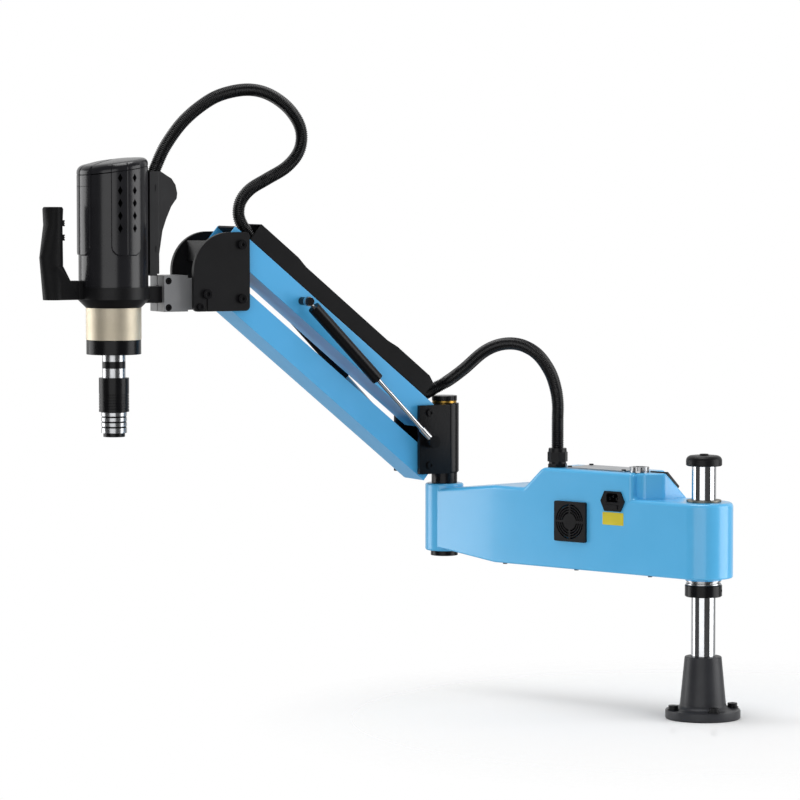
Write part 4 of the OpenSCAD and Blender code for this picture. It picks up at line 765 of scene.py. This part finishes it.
arm2_row = moved(-ARM1_LEN, 0, 0) @ turned(ARM2_YAW, "Z")
head_line = smooth_line([arm2_row @ Vector((out, 0, up)) for out, up in HEAD_ROUTE])
conduit("head_conduit", head_line,
        [(0, 0.34, "head", "tilt"), (0.34, 0.67, "tilt", "bracket"), (0.67, 1, "bracket", "upper")])
conduit("arm_conduit", smooth_line(ARM_ROUTE), [(0, 0.5, "upper", "elbow"), (0.5, 1, "elbow", "first_arm")])

for node_name, edge_width in EDGE_WIDTH.items():
    finished_node(node_name, softened_copy(node_name, edge_width))
for node_name, cad in frame["nodes"].items():
    if not cad.hide_render:
        cad.data.materials.clear()
        cad.data.materials.append(FINISH[node_name])


# Stage: a pale floor, a hair below the flange, that fades into the white room
FLOOR_SIZE = 6.0
FLOOR_DROP = 0.0002
FADE_FROM = 0.1
FADE_TO = 0.75
floor_paint, floor_tree, floor_shader = finish("pale_floor", **{
    "Base Color": linear("#f4f4f4"), "Roughness": 0.9, "Specular IOR Level": 0.2})
floor_at = add(floor_tree, "ShaderNodeTexCoord")
floor_way = add(floor_tree, "ShaderNodeVectorMath", {0: floor_at.outputs["Object"]}, operation="LENGTH")
floor_fade = add(floor_tree, "ShaderNodeMapRange", {"Value": floor_way.outputs["Value"],
                                                    "From Min": FADE_FROM, "From Max": FADE_TO,
                                                    "To Min": 1.0, "To Max": 0.0})
floor_clear = add(floor_tree, "ShaderNodeBsdfTransparent")
floor_mix = add(floor_tree, "ShaderNodeMixShader", {0: floor_fade.outputs["Result"],
                                                    1: floor_clear.outputs["BSDF"],
                                                    2: floor_shader.outputs["BSDF"]})
floor_output = [n for n in floor_tree.nodes if n.type == "OUTPUT_MATERIAL"][0]
floor_tree.links.new(floor_mix.outputs["Shader"], floor_output.inputs["Surface"])
floor_mesh = bmesh.new()
bmesh.ops.create_grid(floor_mesh, x_segments=1, y_segments=1, size=FLOOR_SIZE / 2)
bmesh.ops.translate(floor_mesh, vec=(0, 0, -FLOOR_DROP), verts=floor_mesh.verts)
floor = object_of(floor_mesh, "floor")
floor.data.materials.append(floor_paint)

# The camera looks along this level direction, towards the pale wall of the room
LOOK = (-0.668, 0.744)
# How strongly the room lights plain surfaces, and how dark and pale a mirror sees its two sides
ROOM_LIGHT = 0.45
STUDIO_DARK = 0.08
WALL_PALE = 0.8
# How much upward counts as towards the wall, and between which values the studio turns into the wall
UPWARD = 0.6
STUDIO_ENDS = 0.3
WALL_BEGINS = 0.8
world = bpy.data.worlds.new("white_room")
bpy.context.scene.world = world
world.use_nodes = True
sky = world.node_tree
sky.nodes.clear()
rays = add(sky, "ShaderNodeLightPath")
seen = add(sky, "ShaderNodeMath", {0: rays.outputs["Is Camera Ray"],
                                   1: rays.outputs["Is Transmission Ray"]}, operation="MAXIMUM")
# A mirroring surface sees a dark studio in front of the machine and the pale wall behind it
way = add(sky, "ShaderNodeTexCoord")
behind = add(sky, "ShaderNodeVectorMath", {0: way.outputs["Generated"], 1: (*LOOK, UPWARD)},
             operation="DOT_PRODUCT")
wall = add(sky, "ShaderNodeMapRange", {"Value": behind.outputs["Value"], "From Min": STUDIO_ENDS,
                                       "From Max": WALL_BEGINS, "To Min": STUDIO_DARK, "To Max": WALL_PALE})
mirrored = add(sky, "ShaderNodeMapRange", {"Value": rays.outputs["Is Glossy Ray"], "To Min": ROOM_LIGHT,
                                           "To Max": wall.outputs["Result"]})
room = add(sky, "ShaderNodeBackground", {"Color": linear("#ffffff"),
                                         "Strength": mirrored.outputs["Result"]})
white = add(sky, "ShaderNodeBackground", {"Color": linear("#ffffff"), "Strength": 1.0})
choice = add(sky, "ShaderNodeMixShader", {0: seen.outputs["Value"], 1: room.outputs["Background"],
                                          2: white.outputs["Background"]})
add(sky, "ShaderNodeOutputWorld", {"Surface": choice.outputs["Shader"]})


def soft_lamp(name, place, aim, size, power):
    lamp = bpy.data.lights.new(name, "AREA")
    lamp.shape = "RECTANGLE"
    lamp.size, lamp.size_y = size
    lamp.energy = power
    made = bpy.data.objects.new(name, lamp)
    bpy.context.scene.collection.objects.link(made)
    made.location = place
    made.rotation_euler = (Vector(aim) - Vector(place)).to_track_quat("-Z", "Y").to_euler()
    return made


MACHINE_MIDDLE = (-0.35, -0.2, 0.55)
soft_lamp("front_softbox", (1.5, -3.95, 0.75), MACHINE_MIDDLE, (3.8, 2.6), 50).visible_camera = False
soft_lamp("right_softbox", (2.15, 1.45, 0.6), MACHINE_MIDDLE, (2.1, 2.8), 60)
soft_lamp("left_softbox", (-3.0, -1.6, 0.45), MACHINE_MIDDLE, (1.6, 2.6), 41)
soft_lamp("top_softbox", (-0.4, -0.3, 3.2), MACHINE_MIDDLE, (2.2, 1.4), 45)

# Camera at the photograph's place, worked out from the machine's known lengths in the picture
CAMERA_AT = (3.813, -4.989, 0.912)
CAMERA_PITCH = radians(3.57)
FOCAL_PX = 3850
PICTURE_PX = 800
SENSOR_MM = 36
camera = bpy.data.cameras.new("camera")
camera.sensor_width = SENSOR_MM
camera.lens = FOCAL_PX / PICTURE_PX * SENSOR_MM
camera_object = bpy.data.objects.new("camera", camera)
bpy.context.scene.collection.objects.link(camera_object)
camera_object.location = CAMERA_AT
sight = Vector((LOOK[0] * cos(CAMERA_PITCH), LOOK[1] * cos(CAMERA_PITCH), -sin(CAMERA_PITCH)))
camera_object.rotation_euler = sight.to_track_quat("-Z", "Y").to_euler()
bpy.context.scene.camera = camera_object
bpy.context.scene.view_settings.view_transform = "Standard"
